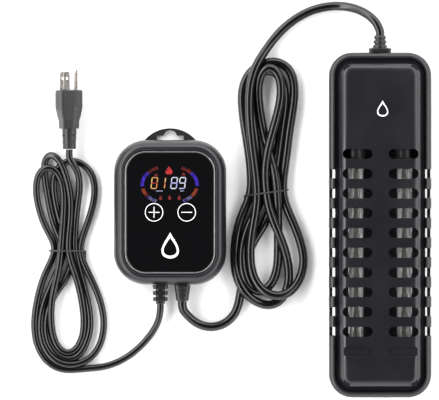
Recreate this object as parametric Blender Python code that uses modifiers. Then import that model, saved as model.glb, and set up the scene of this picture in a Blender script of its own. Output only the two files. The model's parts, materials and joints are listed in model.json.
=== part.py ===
"""Submersible aquarium heater, laid flat: a slotted guard round two quartz heating tubes, its touch
controller, and the two cords, each gathered in a tied hank. Sizes are in millimetres; MM makes metres."""

import math

import bmesh
import bpy
from mathutils import Euler, Matrix, Vector

MM = 0.001
GAP = 0.3

# Heater: outer size of the guard, and where its middle lies on the table
HEATER_WIDTH, HEATER_LENGTH, HEATER_CORNER = 102.0, 344.0, 23.0
HEATER_AT = (107.5, -8.5)
GUARD_FLOOR = 14.5
FRONT_FACE = 52.0
SLOT_INNER, SLOT_OUTER, SLOT_HEIGHT = 7.9, 37.8, 10.0
SLOT_TOP, SLOT_PITCH, OPEN_ROWS = 70.8, 19.65, 10
SIDE_SLOT_HEIGHT = 9.0
GUARD_SCREWS = [(side * 33.0, end * 156.0) for end in (1, -1) for side in (-1, 1)]

# Heating tubes: centre lines, lengths and radii
TUBE_X, TUBE_Z = 24.0, 33.0
TUBE_RADIUS, TUBE_BORE = 8.0, 7.2
TUBE_FOOT_END, TUBE_HEAD_END = -134.0, 80.0
SEAL_RADIUS, FOOT_RADIUS, SEAL_END = 9.9, 9.6, 86.0
CORE_RADIUS, COIL_RADIUS, COIL_Z = 6.9, 3.3, 35.5
PROBE_RADIUS = 2.5

# Sealed head at the cord end of the guard
HEAD_HALF_WIDTH, HEAD_LOW, HEAD_HIGH = 36.4, 76.0, 150.0
HEAD_BACK, HEAD_TOP, HEAD_WALL = 21.2, 45.0, 3.0
GLAND_Z, GLAND_RADIUS = 27.0, 6.0

# Suction cups
CUP_X, CUP_Y = 26.0, 118.0
CUP_NECK = 3.2
KEY_NECK, KEY_ENTRY, KEY_DROP = 3.6, 5.2, 9.0

# Controller
BOX_WIDTH, BOX_LENGTH, BOX_CORNER = 112.5, 144.5, 32.0
BOX_AT = (-102.25, 4.2)
BOX_SCREWS = [(side * 38.0, end * 54.0) for end in (1, -1) for side in (-1, 1)]
TAB_RADIUS, TAB_CENTRE, TAB_ROOT, TAB_LOW, TAB_HIGH = 33.6, 50.6, 70.2, 0.8, 3.6
HANG_HALF_WIDTH, HANG_LOW, HANG_HIGH, HANG_EYE_Y, HANG_EYE_RADIUS = 13.5, 72.4, 76.8, 75.45, 6.8
MAINS_EXIT, HEATER_EXIT, EXIT_Z, EXIT_NECK = -9.75, 12.25, 12.5, 4.3
BOARD_LOW, BOARD_HIGH = 17.5, 19.1

# Plug: the middle of its face, rolled on its side on the table
PLUG_AT = (-203.2, 126.5, 13.1)
PLUG_ROLL = math.radians(-72)
BLADE_U, BLADE_V, PIN_V = 6.35, -4.75, 7.15
PIN_SOCKET = 6.0

# Cords
MAINS_CORD, HEATER_CORD = 7.0, 9.0
MAINS_HANK_HEIGHT, HEATER_HANK_HEIGHT = 17.0, 22.0
MAINS_FROM_PLUG = [(-203.2, 67.1, 13.1), (-203.2, 63.6, 13.0), (-203.2, 60.0, 12.6)]
MAINS_FROM_BOX = [
    (-112.0, -87.6, 12.5), (-112.0, -91.5, 12.4), (-113.6, -102.5, 9.6), (-118.0, -112.0, 6.2),
    (-124.0, -121.0, 4.2), (-131.5, -129.5, 3.6), (-141.5, -138.0, 3.6), (-152.5, -145.0, 3.6),
    (-164.5, -149.5, 3.6), (-176.0, -151.6, 3.6),
]
HEATER_FROM_GUARD = [
    (107.5, 180.8, 27.0), (107.4, 185.0, 27.0), (104.2, 192.6, 26.3), (98.0, 199.5, 24.0),
    (89.5, 205.0, 20.0), (79.5, 209.0, 14.5), (67.5, 210.9, 9.0), (55.5, 210.3, 5.5),
    (42.5, 207.5, 4.6), (29.5, 201.7, 4.6), (17.5, 193.7, 4.6), (7.5, 184.5, 5.0),
    (-0.5, 174.5, 7.5), (-6.5, 164.5, 11.0), (-9.5, 159.0, 12.8),
]
HEATER_FROM_BOX = [
    (-90.0, -84.6, 12.5), (-90.0, -88.5, 12.4), (-87.5, -96.0, 9.8), (-74.5, -108.0, 5.0),
    (-63.0, -110.8, 4.6), (-51.5, -109.0, 4.6), (-41.5, -103.5, 4.6), (-35.0, -95.5, 4.6),
]
MAINS_HANK_OUTLINE = [
    (-226, 64), (-214, 61), (-202, 58), (-184, 52), (-175, 32), (-180, 5), (-190, -25), (-191.5, -39),
    (-181, -63), (-169, -88), (-166, -114), (-172, -136), (-188, -151), (-206, -156), (-226, -149),
    (-238, -132), (-241, -108), (-232, -76), (-219, -40), (-220, -26), (-232, 2), (-240, 27), (-238, 47),
]
HEATER_HANK_OUTLINE = [
    (7.5, 158), (20, 149), (27, 126), (22, 91), (17, 56), (16, 22), (22, -5), (32, -33), (36, -53),
    (30, -73), (17, -87), (-2, -97), (-20, -91), (-32, -78), (-38, -53), (-34, -21), (-24, 16),
    (-23.5, 41), (-29, 86), (-32, 116), (-28, 136), (-18, 150), (-6.5, 156),
]
MAINS_TIE = {"centre": (-205.0, -34.5), "width": 31.5, "tilt": 0.0}
HEATER_TIE = {"centre": (-3.6, 24.0), "width": 43.5, "tilt": 8.0}
TIE_WIDTH, TIE_THICKNESS, TIE_CHANNEL = 3.0, 1.1, 1.5

UP, ALONG_Y, AGAINST_Y = (0, 0, 0), (-math.pi / 2, 0, 0), (math.pi / 2, 0, 0)


# ---------------------------------------------------------------- scene, finishes and placing


def clear_scene():
    for obj in list(bpy.data.objects):
        bpy.data.objects.remove(obj, do_unlink=True)


def new_collection(name, inside):
    made = bpy.data.collections.new(name)
    inside.children.link(made)
    return made


def finish(name, colour, roughness, metallic=0.0):
    made = bpy.data.materials.new(name)
    made.use_nodes = True
    shader = made.node_tree.nodes["Principled BSDF"]
    shader.inputs["Base Color"].default_value = (*colour, 1)
    shader.inputs["Roughness"].default_value = roughness
    shader.inputs["Metallic"].default_value = metallic
    return made


def empty(name, at, rotation=UP):
    made = bpy.data.objects.new(name, None)
    PARTS.objects.link(made)
    made.location = Vector((*at, 0.0)[:3]) * MM
    made.rotation_euler = rotation
    return made


def add(name, data, material, parent=None, at=(0, 0, 0), rotation=UP):
    """Makes a named piece of a mesh or a curve, placed under its parent."""
    data.materials.append(material)
    obj = bpy.data.objects.new(name, data)
    PARTS.objects.link(obj)
    obj.parent = parent
    obj.location = Vector(at) * MM
    obj.rotation_euler = rotation
    if obj.type == "MESH":
        data.shade_smooth()
        data.set_sharp_from_angle(angle=math.radians(35))
    return obj


def helper(mesh, group, parent=None, at=(0, 0, 0), rotation=UP):
    """Puts a cutter, or a shape that is joined on, into the named group of helpers."""
    obj = bpy.data.objects.new(group.name + "_shape", mesh)
    group.objects.link(obj)
    obj.parent = parent
    obj.location = Vector(at) * MM
    obj.rotation_euler = rotation
    obj.hide_render = True
    obj.display_type = "WIRE"
    return obj


def combine(obj, operation, group):
    change = obj.modifiers.new(operation.lower(), "BOOLEAN")
    change.operation = operation
    change.operand_type = "COLLECTION"
    change.collection = group
    change.solver = "EXACT"


# ---------------------------------------------------------------- outlines and meshes


def outline(width, length, radius, steps=4):
    """A rectangle with round corners, anticlockwise."""
    points = []
    for quarter, (sx, sy) in enumerate([(1, 1), (-1, 1), (-1, -1), (1, -1)]):
        for step in range(steps + 1):
            angle = math.pi / 2 * (quarter + step / steps)
            points.append((
                sx * (width / 2 - radius) + radius * math.cos(angle),
                sy * (length / 2 - radius) + radius * math.sin(angle),
            ))
    return points


def circle(radius, at=(0, 0), flats=16):
    turn = 2 * math.pi / flats
    return [
        (at[0] + radius * math.cos(turn * i), at[1] + radius * math.sin(turn * i)) for i in range(flats)
    ]


def slot_outline(low_x, high_x, y, height, steps=3):
    """A slot along X with round ends."""
    width, middle = high_x - low_x, (low_x + high_x) / 2
    return [(middle + px, y + py) for px, py in outline(width, height, height / 2 - 0.01, steps)]


def arc(radius, at, start, end, steps):
    """Points on an arc, from one angle in degrees to the other."""
    angles = [math.radians(start + (end - start) * i / steps) for i in range(steps + 1)]
    return [(at[0] + radius * math.cos(a), at[1] + radius * math.sin(a)) for a in angles]


def keyhole_outline(x, y):
    """A round entry that narrows to the slot in which a cup's neck rests."""
    return arc(KEY_ENTRY, (x, y - KEY_DROP), 134, 406, 12) + arc(KEY_NECK, (x, y), 0, 180, 8)


def finished(name, shape):
    bmesh.ops.recalc_face_normals(shape, faces=shape.faces)
    mesh = bpy.data.meshes.new(name)
    shape.to_mesh(mesh)
    shape.free()
    return mesh


def box(name, size, middle=(0, 0, 0)):
    shape = bmesh.new()
    place = Matrix.Translation(Vector(middle) * MM) @ Matrix.Diagonal(Vector(size) * MM).to_4x4()
    bmesh.ops.create_cube(shape, size=1, matrix=place)
    return finished(name, shape)


def prism(name, points, low, high):
    shape = bmesh.new()
    base = shape.faces.new([shape.verts.new((x * MM, y * MM, low * MM)) for x, y in points])
    lifted = bmesh.ops.extrude_face_region(shape, geom=[base])["geom"]
    corners = [item for item in lifted if isinstance(item, bmesh.types.BMVert)]
    bmesh.ops.translate(shape, verts=corners, vec=(0, 0, (high - low) * MM))
    return finished(name, shape)


def lofted(name, sections, ring=False, steps=4):
    """Joins round-cornered sections (width, length, radius, z), capped unless they close in a ring."""
    shape = bmesh.new()
    rows = []
    for width, length, radius, z in sections:
        points = outline(width, length, radius, steps)
        rows.append([shape.verts.new((x * MM, y * MM, z * MM)) for x, y in points])
    pairs = list(zip(rows, rows[1:])) + ([(rows[-1], rows[0])] if ring else [])
    for lower, upper in pairs:
        for i in range(len(lower)):
            k = (i + 1) % len(lower)
            shape.faces.new((lower[i], lower[k], upper[k], upper[i]))
    if not ring:
        shape.faces.new(rows[0][::-1])
        shape.faces.new(rows[-1])
    return finished(name, shape)


def inset_sections(width, length, corner, profile):
    return [
        (width - 2 * inset, length - 2 * inset, max(corner - inset, 1.0), z) for inset, z in profile
    ]


def turned(name, profile, material, parent, at, rotation=UP, flats=18, ring=False):
    """Turns a profile of (radius, height) about its Z axis. It runs down its outer side."""
    edges = [(i, i + 1) for i in range(len(profile) - 1)] + ([(len(profile) - 1, 0)] if ring else [])
    mesh = bpy.data.meshes.new(name)
    mesh.from_pydata([(r * MM, 0, z * MM) for r, z in profile], edges, [])
    obj = add(name, mesh, material, parent, at, rotation)
    turn = obj.modifiers.new("turn", "SCREW")
    turn.steps = turn.render_steps = flats
    turn.use_merge_vertices = True
    turn.merge_threshold = 1e-5
    turn.use_smooth_shade = True
    return obj


def blend(a, b, c, d, t):
    """A point of the Catmull-Rom curve between b and c."""
    return 0.5 * (2 * b + (c - a) * t + (2 * a - 5 * b + 4 * c - d) * t**2 + (3 * b - a - 3 * c + d) * t**3)


def smooth(route, spacing):
    """Points about this far apart on a smooth curve through the route, with square ends."""
    stops = [Vector(point) for point in route]
    ends = [2 * stops[0] - stops[1], *stops, 2 * stops[-1] - stops[-2]]
    fine = [
        blend(*ends[i : i + 4], step / 16) for i in range(len(stops) - 1) for step in range(16)
    ] + [stops[-1]]
    run = [0.0]
    for first, second in zip(fine, fine[1:]):
        run.append(run[-1] + (second - first).length)
    count = max(2, round(run[-1] / spacing))
    points, k = [], 0
    for step in range(count + 1):
        wanted = run[-1] * step / count
        while k < len(run) - 2 and run[k + 1] < wanted:
            k += 1
        share = (wanted - run[k]) / (run[k + 1] - run[k])
        points.append(fine[k].lerp(fine[k + 1], min(share, 1.0)))
    return [points[0], fine[1], *points[1:-1], fine[-2], points[-1]]


def smooth_loop(stops, steps=2):
    """A closed smooth outline through these stops."""
    stops = [Vector(point) for point in stops]
    count = len(stops)
    return [
        tuple(blend(*(stops[(i + k) % count] for k in (-1, 0, 1, 2)), step / steps))
        for i in range(count)
        for step in range(steps)
    ]


def tube(name, points, diameter, material, parent=None, resolution=2):
    wire = bpy.data.curves.new(name, "CURVE")
    wire.dimensions = "3D"
    wire.bevel_depth = diameter / 2 * MM
    wire.bevel_resolution = resolution
    wire.use_fill_caps = True
    spline = wire.splines.new("POLY")
    spline.points.add(len(points) - 1)
    for place, point in zip(spline.points, points):
        place.co = (*(Vector(point) * MM), 1)
    return add(name, wire, material, parent)


# ---------------------------------------------------------------- heater: guard


def row_y(row):
    return SLOT_TOP - SLOT_PITCH * (row - 1)


def rear_guard(parent):
    """A deep tray with a rolled rim, a ledge for the front, side slots and four keyholes for the cups."""
    profile = [
        (9, 12.0), (4.5, 13.2), (1.3, 16.5), (0, 21), (0, 34), (0.8, 37), (2.6, 39.3), (5.0, 40.3),
        (5.7, 40.0), (6.0, 39.7), (6.0, 34.0), (8.4, 34.0), (8.4, 32.5), (2.5, 31.0), (2.5, 21),
        (3.6, 17.6), (6.2, 15.3), (9.8, GUARD_FLOOR),
    ]
    sections = inset_sections(HEATER_WIDTH, HEATER_LENGTH, HEATER_CORNER, profile)
    obj = add("rear_guard", lofted("rear_guard", sections), CHARCOAL, parent)
    cuts = new_collection("rear_guard_cuts", CUTTERS)
    for row in range(2, OPEN_ROWS + 1):
        y = row_y(row)
        helper(box("vent", (12, SLOT_HEIGHT, 8), (0, y, 12)), cuts, parent)
        for side in (-1, 1):
            helper(box("side_slot", (16, SIDE_SLOT_HEIGHT, 42), (side * 53.0, y, 39)), cuts, parent)
            helper(box("side_floor", (5.4, SIDE_SLOT_HEIGHT, 25), (side * 44.7, y, 17.5)), cuts, parent)
    for x, y in GUARD_SCREWS:
        helper(prism("screw_hole", circle(1.9, (x, y), 12), 10, 16), cuts, parent)
        helper(prism("screw_seat", circle(3.6, (x, y), 16), 10, 13.3), cuts, parent)
    for x in (-CUP_X, CUP_X):
        for y in (-CUP_Y, CUP_Y):
            helper(prism("keyhole", keyhole_outline(x, y), 10, 17), cuts, parent)
    gland_hole = prism("gland_hole", circle(GLAND_RADIUS + GAP, (0, -GLAND_Z), 24), 160, 180)
    helper(gland_hole, cuts, parent, rotation=ALONG_Y)
    combine(obj, "DIFFERENCE", cuts)


def front_guard(parent):
    """The raised cover: ten rows of open slots on each side of the spine, and one blind row."""
    profile = [
        (20.5, 49.5), (17, 48.6), (15.6, 47.4), (14.0, 44.0), (13.9, 36.5), (13.9, 34.3), (6.3, 34.3),
        (6.3, 36.9), (11.3, 36.9), (11.3, 45.0), (11.8, 47.7), (13.4, 50.0), (15.6, 51.5),
        (18.3, FRONT_FACE),
    ]
    sections = inset_sections(HEATER_WIDTH, HEATER_LENGTH, HEATER_CORNER, profile)
    obj = add("front_guard", lofted("front_guard", sections), CHARCOAL, parent)
    bosses = new_collection("front_guard_bosses", CUTTERS)
    cuts = new_collection("front_guard_cuts", CUTTERS)
    for x, y in GUARD_SCREWS:
        helper(prism("boss", circle(4, (x, y)), 15, 50.5), bosses, parent)
        helper(prism("pilot", circle(1.5, (x, y), 12), 10, 30), cuts, parent)
    for row in range(1, OPEN_ROWS + 2):
        low = 40 if row <= OPEN_ROWS else FRONT_FACE - 1.2
        for side in (-1, 1):
            ends = sorted((side * SLOT_INNER, side * SLOT_OUTER))
            helper(prism("slot", slot_outline(*ends, row_y(row), SLOT_HEIGHT), low, 60), cuts, parent)
    combine(obj, "UNION", bosses)
    combine(obj, "DIFFERENCE", cuts)


def suction_cup(name, parent, x, y):
    """A rubber cup whose button turns in the guard's keyhole, with a small lift tab on its rim."""
    profile = [
        (0, 17.4), (4.2, 17.4), (4.6, 16.4), (CUP_NECK, 15.3), (CUP_NECK, 11.6), (7.5, 11.6), (8.5, 8.5),
        (12, 5.2), (16, 1.6), (17, 0), (14.8, 0), (8, 3), (0, 4.2),
    ]
    obj = turned(name, profile, RUBBER, parent, (x, y, 0))
    tab = new_collection(name + "_tab", CUTTERS)
    helper(box("tab", (5, 6, 1.4), (0, 18, 0.75)), tab, obj)
    combine(obj, "UNION", tab)


def guard_screws(parent):
    profile = [
        (0, 0), (1.0, 0), (1.3, -1.5), (1.3, -14.8), (3.3, -14.8), (3.3, -15.6), (2.6, -15.95), (0, -15.95),
    ]
    for number, (x, y) in enumerate(GUARD_SCREWS, 1):
        turned(f"guard_screw_{number}", profile, STEEL, parent, (x, y, 28), flats=10)


# ---------------------------------------------------------------- heater: tubes


def heating_tube(side, x, parent):
    """A quartz tube with its ceramic core and coil, a rubber seal at the head and a rubber foot."""
    at = (x, 0, TUBE_Z)
    quartz = [
        (0, -132.5), (5.0, -131.3), (TUBE_BORE, -128.5), (TUBE_BORE, TUBE_HEAD_END),
        (TUBE_RADIUS, TUBE_HEAD_END), (TUBE_RADIUS, -129.0), (5.6, -132.8), (0, TUBE_FOOT_END),
    ]
    turned(f"quartz_tube_{side}", quartz, QUARTZ, parent, at, ALONG_Y)
    seal = [
        (TUBE_RADIUS + GAP, 80.5), (5.5, 80.5), (5.5, SEAL_END), (8.6, SEAL_END), (SEAL_RADIUS, 84.8),
        (SEAL_RADIUS, 67.0), (9.2, 66), (TUBE_RADIUS + GAP, 66),
    ]
    turned(f"tube_seal_{side}", seal, RUBBER, parent, at, ALONG_Y, ring=True)
    foot = [
        (0, TUBE_FOOT_END - GAP), (TUBE_RADIUS + GAP, TUBE_FOOT_END - GAP), (TUBE_RADIUS + GAP, -122),
        (9.0, -122), (FOOT_RADIUS, -122.8), (FOOT_RADIUS, -136.0), (8.4, -137.2), (0, -137.2),
    ]
    turned(f"tube_foot_{side}", foot, RUBBER, parent, at, ALONG_Y)
    half_channel, channel_floor, flats = 3.6, 1.0, 20
    edge = math.degrees(math.asin(half_channel / CORE_RADIUS))
    core = arc(CORE_RADIUS, (0, 0), edge - 90, 270 - edge, flats)
    core += [(-half_channel, channel_floor), (half_channel, channel_floor)]
    mesh = prism(f"ceramic_core_{side}", core, -128, 78)
    add(f"ceramic_core_{side}", mesh, CERAMIC, parent, at, ALONG_Y)
    coil = [(0, 74), (COIL_RADIUS, 74), (COIL_RADIUS, -126), (0, -126)]
    turned(f"heating_coil_{side}", coil, NICHROME, parent, (x, 0, COIL_Z), ALONG_Y, flats=12)


def tube_bracket(parent):
    """The plate that holds both tube feet clear of the guard."""
    half_width, low, high, back, front = 36.0, -132.0, -126.0, GUARD_FLOOR + GAP, 45.2
    plate = box("tube_bracket", (2 * half_width, high - low, front - back),
                (0, (low + high) / 2, (front + back) / 2))
    obj = add("tube_bracket", plate, BLACK, parent)
    holes = new_collection("tube_bracket_cuts", CUTTERS)
    for x in (-TUBE_X, TUBE_X):
        hole = prism("foot_hole", circle(FOOT_RADIUS + GAP, (x, -TUBE_Z), 24), low - 3, high + 3)
        helper(hole, holes, parent, rotation=ALONG_Y)
    combine(obj, "DIFFERENCE", holes)


def sealed_head(parent):
    """The watertight box at the cord end, open at the back for its lid."""
    length, middle = HEAD_HIGH - HEAD_LOW, (HEAD_HIGH + HEAD_LOW) / 2
    width, depth, wall = 2 * HEAD_HALF_WIDTH, HEAD_TOP - HEAD_BACK, HEAD_WALL
    shell = lofted("sealed_head", [
        (width, length, 3, HEAD_BACK), (width, length, 3, HEAD_TOP - 2), (width - 3, length - 3, 3, HEAD_TOP),
    ], steps=2)
    obj = add("sealed_head", shell, BLACK, parent, (0, middle, 0))
    cuts = new_collection("sealed_head_cuts", CUTTERS)
    room = box("room", (width - 2 * wall, length - 2 * wall, depth), (0, middle, HEAD_TOP - wall - depth / 2))
    helper(room, cuts, parent)
    for x, radius, flats in ((-TUBE_X, SEAL_RADIUS, 24), (0, PROBE_RADIUS, 12), (TUBE_X, SEAL_RADIUS, 24)):
        bore = circle(radius + GAP, (x, -TUBE_Z), flats)
        hole = prism("head_hole", bore, HEAD_LOW - 2, SEAL_END + GAP)
        helper(hole, cuts, parent, rotation=ALONG_Y)
    cord_hole = prism("cord_hole", circle(4, (0, -GLAND_Z), 12), HEAD_HIGH - wall - 1, HEAD_HIGH + 2)
    helper(cord_hole, cuts, parent, rotation=ALONG_Y)
    combine(obj, "DIFFERENCE", cuts)


def head_fittings(parent):
    """The head's lid, the water probe, the cut-out that stops it boiling dry, and the coil leads."""
    length, middle = HEAD_HIGH - HEAD_LOW, (HEAD_HIGH + HEAD_LOW) / 2
    lid = prism("head_lid", outline(2 * HEAD_HALF_WIDTH, length, 3, 2), HEAD_BACK - 2.5, HEAD_BACK - GAP)
    add("head_lid", lid, BLACK, parent, (0, middle, 0))
    probe = [(0, 84), (PROBE_RADIUS, 84), (PROBE_RADIUS, 46.5), (1.6, 44.6), (0, 44)]
    turned("temperature_probe", probe, STEEL, parent, (0, 0, TUBE_Z), ALONG_Y, flats=16)
    disc = [(0, 31), (4, 31), (4, 30), (7, 30), (7, 26), (0, 26)]
    turned("thermal_cutout", disc, STEEL, parent, (0, 110, 0))
    routes = {
        "left": [(-24, 79, 35.5), (-24, 88, 35), (-22, 98, 32), (-15, 107, 28.5), (-8, 110, 28)],
        "right": [(24, 79, 35.5), (24, 90, 35), (22, 108, 32), (14, 130, 28), (4, 141, 27), (2, 146, 27)],
    }
    for side, route in routes.items():
        tube(f"coil_lead_{side}", smooth(route, 6), 2.4, SLEEVING, parent, resolution=1)


def cord_gland(parent):
    """The flanged gland in the guard's end wall, and the ribbed rubber boot over the cord."""
    flange = prism("cord_gland", outline(22, 13.4, 3, 2), 172.3, 176.5)
    obj = add("cord_gland", flange, BLACK, parent, (0, 0, GLAND_Z), ALONG_Y)
    stub = new_collection("cord_gland_stub", CUTTERS)
    helper(prism("stub", circle(GLAND_RADIUS, flats=24), HEAD_HIGH + 0.4, 173.5), stub, obj)
    combine(obj, "UNION", stub)
    boot = [
        (0, 189), (5.4, 189), (5.8, 188.2), (6.0, 186.2), (5.0, 185.8), (5.0, 184.4), (6.3, 184.0),
        (6.5, 181.6), (5.3, 181.2), (5.3, 179.8), (6.8, 179.4), (7.0, 176.8), (0, 176.8),
    ]
    turned("cord_boot", boot, RUBBER, parent, (0, 0, GLAND_Z), ALONG_Y, flats=16)


# ---------------------------------------------------------------- controller


def controller_front(parent):
    """The domed bezel, open in the middle, with a ledge under the glass and four screw posts."""
    profile = [
        (0.5, 7.0), (0, 8.0), (0, 14.0), (0.9, 19.5), (2.6, 24.0), (5.0, 27.4), (7.4, 29.4), (8.6, 29.9),
        (9.5, 29.5), (9.9, 27.0), (9.9, 25.6), (16.5, 25.6), (16.5, 23.4), (9.0, 22.8), (5.2, 20.5),
        (3.2, 17.0), (2.5, 13), (2.5, 7.0),
    ]
    sections = inset_sections(BOX_WIDTH, BOX_LENGTH, BOX_CORNER, profile)
    obj = add("controller_front", lofted("controller_front", sections, ring=True, steps=5), CHARCOAL, parent)
    posts = new_collection("controller_front_posts", CUTTERS)
    cuts = new_collection("controller_front_cuts", CUTTERS)
    for x, y in BOX_SCREWS:
        helper(prism("post", circle(3.5, (x, y), 12), 3.2, 24.5), posts, parent)
        helper(prism("pilot", circle(1.3, (x, y), 8), 2, 18), cuts, parent)
    for x in (MAINS_EXIT, HEATER_EXIT):
        hole = prism("cord_exit", circle(EXIT_NECK + GAP, (x, EXIT_Z), 20), 60, 80)
        helper(hole, cuts, parent, rotation=AGAINST_Y)
    combine(obj, "UNION", posts)
    combine(obj, "DIFFERENCE", cuts)


def controller_back(parent):
    """The shallow back with the hanging tab moulded on its top edge."""
    profile = [(4.5, 0), (1.8, 0.8), (0.7, 3.0), (0.5, 6.6), (2.9, 6.6), (2.9, 3.4), (4.2, 2.6)]
    sections = inset_sections(BOX_WIDTH, BOX_LENGTH, BOX_CORNER, profile)
    obj = add("controller_back", lofted("controller_back", sections, steps=5), BLACK, parent)
    tab = new_collection("controller_back_tab", CUTTERS)
    cuts = new_collection("controller_back_cuts", CUTTERS)
    reach = math.degrees(math.acos((TAB_ROOT - TAB_CENTRE) / TAB_RADIUS))
    rim = arc(TAB_RADIUS, (0, TAB_CENTRE), 90 - reach, 90 + reach, 14)
    helper(prism("tab", rim, TAB_LOW, TAB_HIGH), tab, parent)
    start = math.degrees(math.asin((HANG_HIGH - HANG_EYE_Y) / HANG_EYE_RADIUS))
    hole = [(HANG_HALF_WIDTH, HANG_LOW), (HANG_HALF_WIDTH, HANG_HIGH)]
    hole += arc(HANG_EYE_RADIUS, (0, HANG_EYE_Y), start, 180 - start, 10)
    hole += [(-HANG_HALF_WIDTH, HANG_HIGH), (-HANG_HALF_WIDTH, HANG_LOW)]
    helper(prism("hang_slot", hole, -2, 8), cuts, parent)
    for x, y in BOX_SCREWS:
        helper(prism("screw_hole", circle(1.8, (x, y), 12), -1, 4), cuts, parent)
        helper(prism("screw_seat", circle(3.2, (x, y), 16), -1, 1.4), cuts, parent)
    combine(obj, "UNION", tab)
    combine(obj, "DIFFERENCE", cuts)


def control_face(parent):
    """The glass touch panel in its thin bright trim, over the display and the two key springs."""
    panel = inset_sections(BOX_WIDTH, BOX_LENGTH, BOX_CORNER, [(12.4, 25.9), (12.4, 28.1), (12.9, 28.6)])
    add("touch_panel", lofted("touch_panel", panel, steps=5), GLASS, parent)
    trim = [(11.2, 25.9), (11.2, 28.6), (11.5, 28.9), (12.1, 28.9), (12.1, 25.9)]
    trim = inset_sections(BOX_WIDTH, BOX_LENGTH, BOX_CORNER, trim)
    add("panel_trim", lofted("panel_trim", trim, ring=True, steps=5), TRIM, parent)
    display = box("display_module", (62, 40, 5.9), (0, 28.75, 22.35))
    add("display_module", display, WHITE, parent)
    turns, steps, radius = 3, 8, 3.4
    for name, x in (("touch_spring_minus", 16.75), ("touch_spring_plus", -15.95)):
        helix = [
            (x + radius * math.cos(i * 2 * math.pi / steps), radius * math.sin(i * 2 * math.pi / steps),
             20.1 + 4.8 * i / (turns * steps))
            for i in range(turns * steps + 1)
        ]
        tube(name, helix, 0.9, STEEL, parent, resolution=0)


def electronics(parent):
    """The circuit board and what stands on its back, and the gasket between the two shells."""
    board = (BOARD_LOW + BOARD_HIGH) / 2
    add("circuit_board", box("circuit_board", (66, 112, BOARD_HIGH - BOARD_LOW), (0, 0, board)), BOARD, parent)
    relay = box("relay", (19, 15.5, 12.5), (18, 26, 10.9))
    add("relay", relay, RELAY_BLUE, parent)
    transformer = box("power_transformer", (26, 22, 13.4), (-16, 30, 10.4))
    add("power_transformer", transformer, TAPE_YELLOW, parent)
    capacitor = [(0, 17.1), (5, 17.1), (5, 4.2), (4.4, 3.6), (0, 3.6)]
    turned("smoothing_capacitor", capacitor, BLACK, parent, (-16, 4, 0), flats=16)
    terminals = box("terminal_block", (40, 11, 10), (1, -42, 12.1))
    add("terminal_block", terminals, TERMINAL_GREEN, parent)
    gasket = inset_sections(BOX_WIDTH, BOX_LENGTH, BOX_CORNER, [(3.3, 4.0), (3.3, 7.7), (4.7, 7.7), (4.7, 4.0)])
    add("casing_gasket", lofted("casing_gasket", gasket, ring=True, steps=5), RUBBER, parent)
    profile = [(0, 0), (0.9, 0), (1.1, -1.2), (1.1, -15.2), (2.9, -15.2), (2.9, -16), (2.4, -16.3), (0, -16.3)]
    for number, (x, y) in enumerate(BOX_SCREWS, 1):
        turned(f"controller_screw_{number}", profile, STEEL, parent, (x, y, 16.5), flats=8)


def strain_reliefs(parent):
    """A stepped relief on the mains lead and a dimpled one on the heater lead, in the lower wall."""
    neck = 2 * EXIT_NECK
    wall = BOX_LENGTH / 2
    stepped = [
        (neck, neck, EXIT_NECK - 0.05, wall - 5), (neck, neck, EXIT_NECK - 0.05, wall + 0.35),
        (15, 13, 3.5, wall + 0.36), (15, 13, 3.5, wall + 4.4), (9, 10.4, 3, wall + 4.5), (9, 10.4, 3, wall + 6.6),
        (14.6, 12.6, 3.5, wall + 6.7), (14.6, 12.6, 3.5, wall + 10.6), (9, 10.2, 3, wall + 10.7),
        (9, 10.2, 3, wall + 12.7), (13.8, 12, 3.5, wall + 12.8), (13.4, 11.8, 3.5, wall + 16.6),
        (9.4, 9.4, 3.5, wall + 16.9), (9, 9, 3.5, wall + 19.05),
    ]
    at = (MAINS_EXIT, 0, EXIT_Z)
    add("mains_strain_relief", lofted("mains_strain_relief", stepped, steps=3), RUBBER, parent, at, AGAINST_Y)
    plain = [
        (neck, neck, EXIT_NECK - 0.05, wall - 5), (neck, neck, EXIT_NECK - 0.05, wall + 0.35),
        (16, 14, 4, wall + 0.36), (15.8, 13.8, 4, wall + 3), (13, 12.6, 4, wall + 12), (12, 12, 4, wall + 15.3),
        (11, 11, 4, wall + 16.05),
    ]
    at = (HEATER_EXIT, 0, EXIT_Z)
    mesh = lofted("heater_strain_relief", plain, steps=3)
    obj = add("heater_strain_relief", mesh, RUBBER, parent, at, AGAINST_Y)
    dimples = new_collection("heater_strain_relief_dimples", CUTTERS)
    for row in range(3):
        for side in (-1, 1):
            size, out = (3.2, 3, 2.4), wall + 3.6 + 4.3 * row
            helper(box("dimple", size, (side * 2.7, 6.6, out)), dimples, obj)
    combine(obj, "DIFFERENCE", dimples)


# ---------------------------------------------------------------- plug


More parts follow.
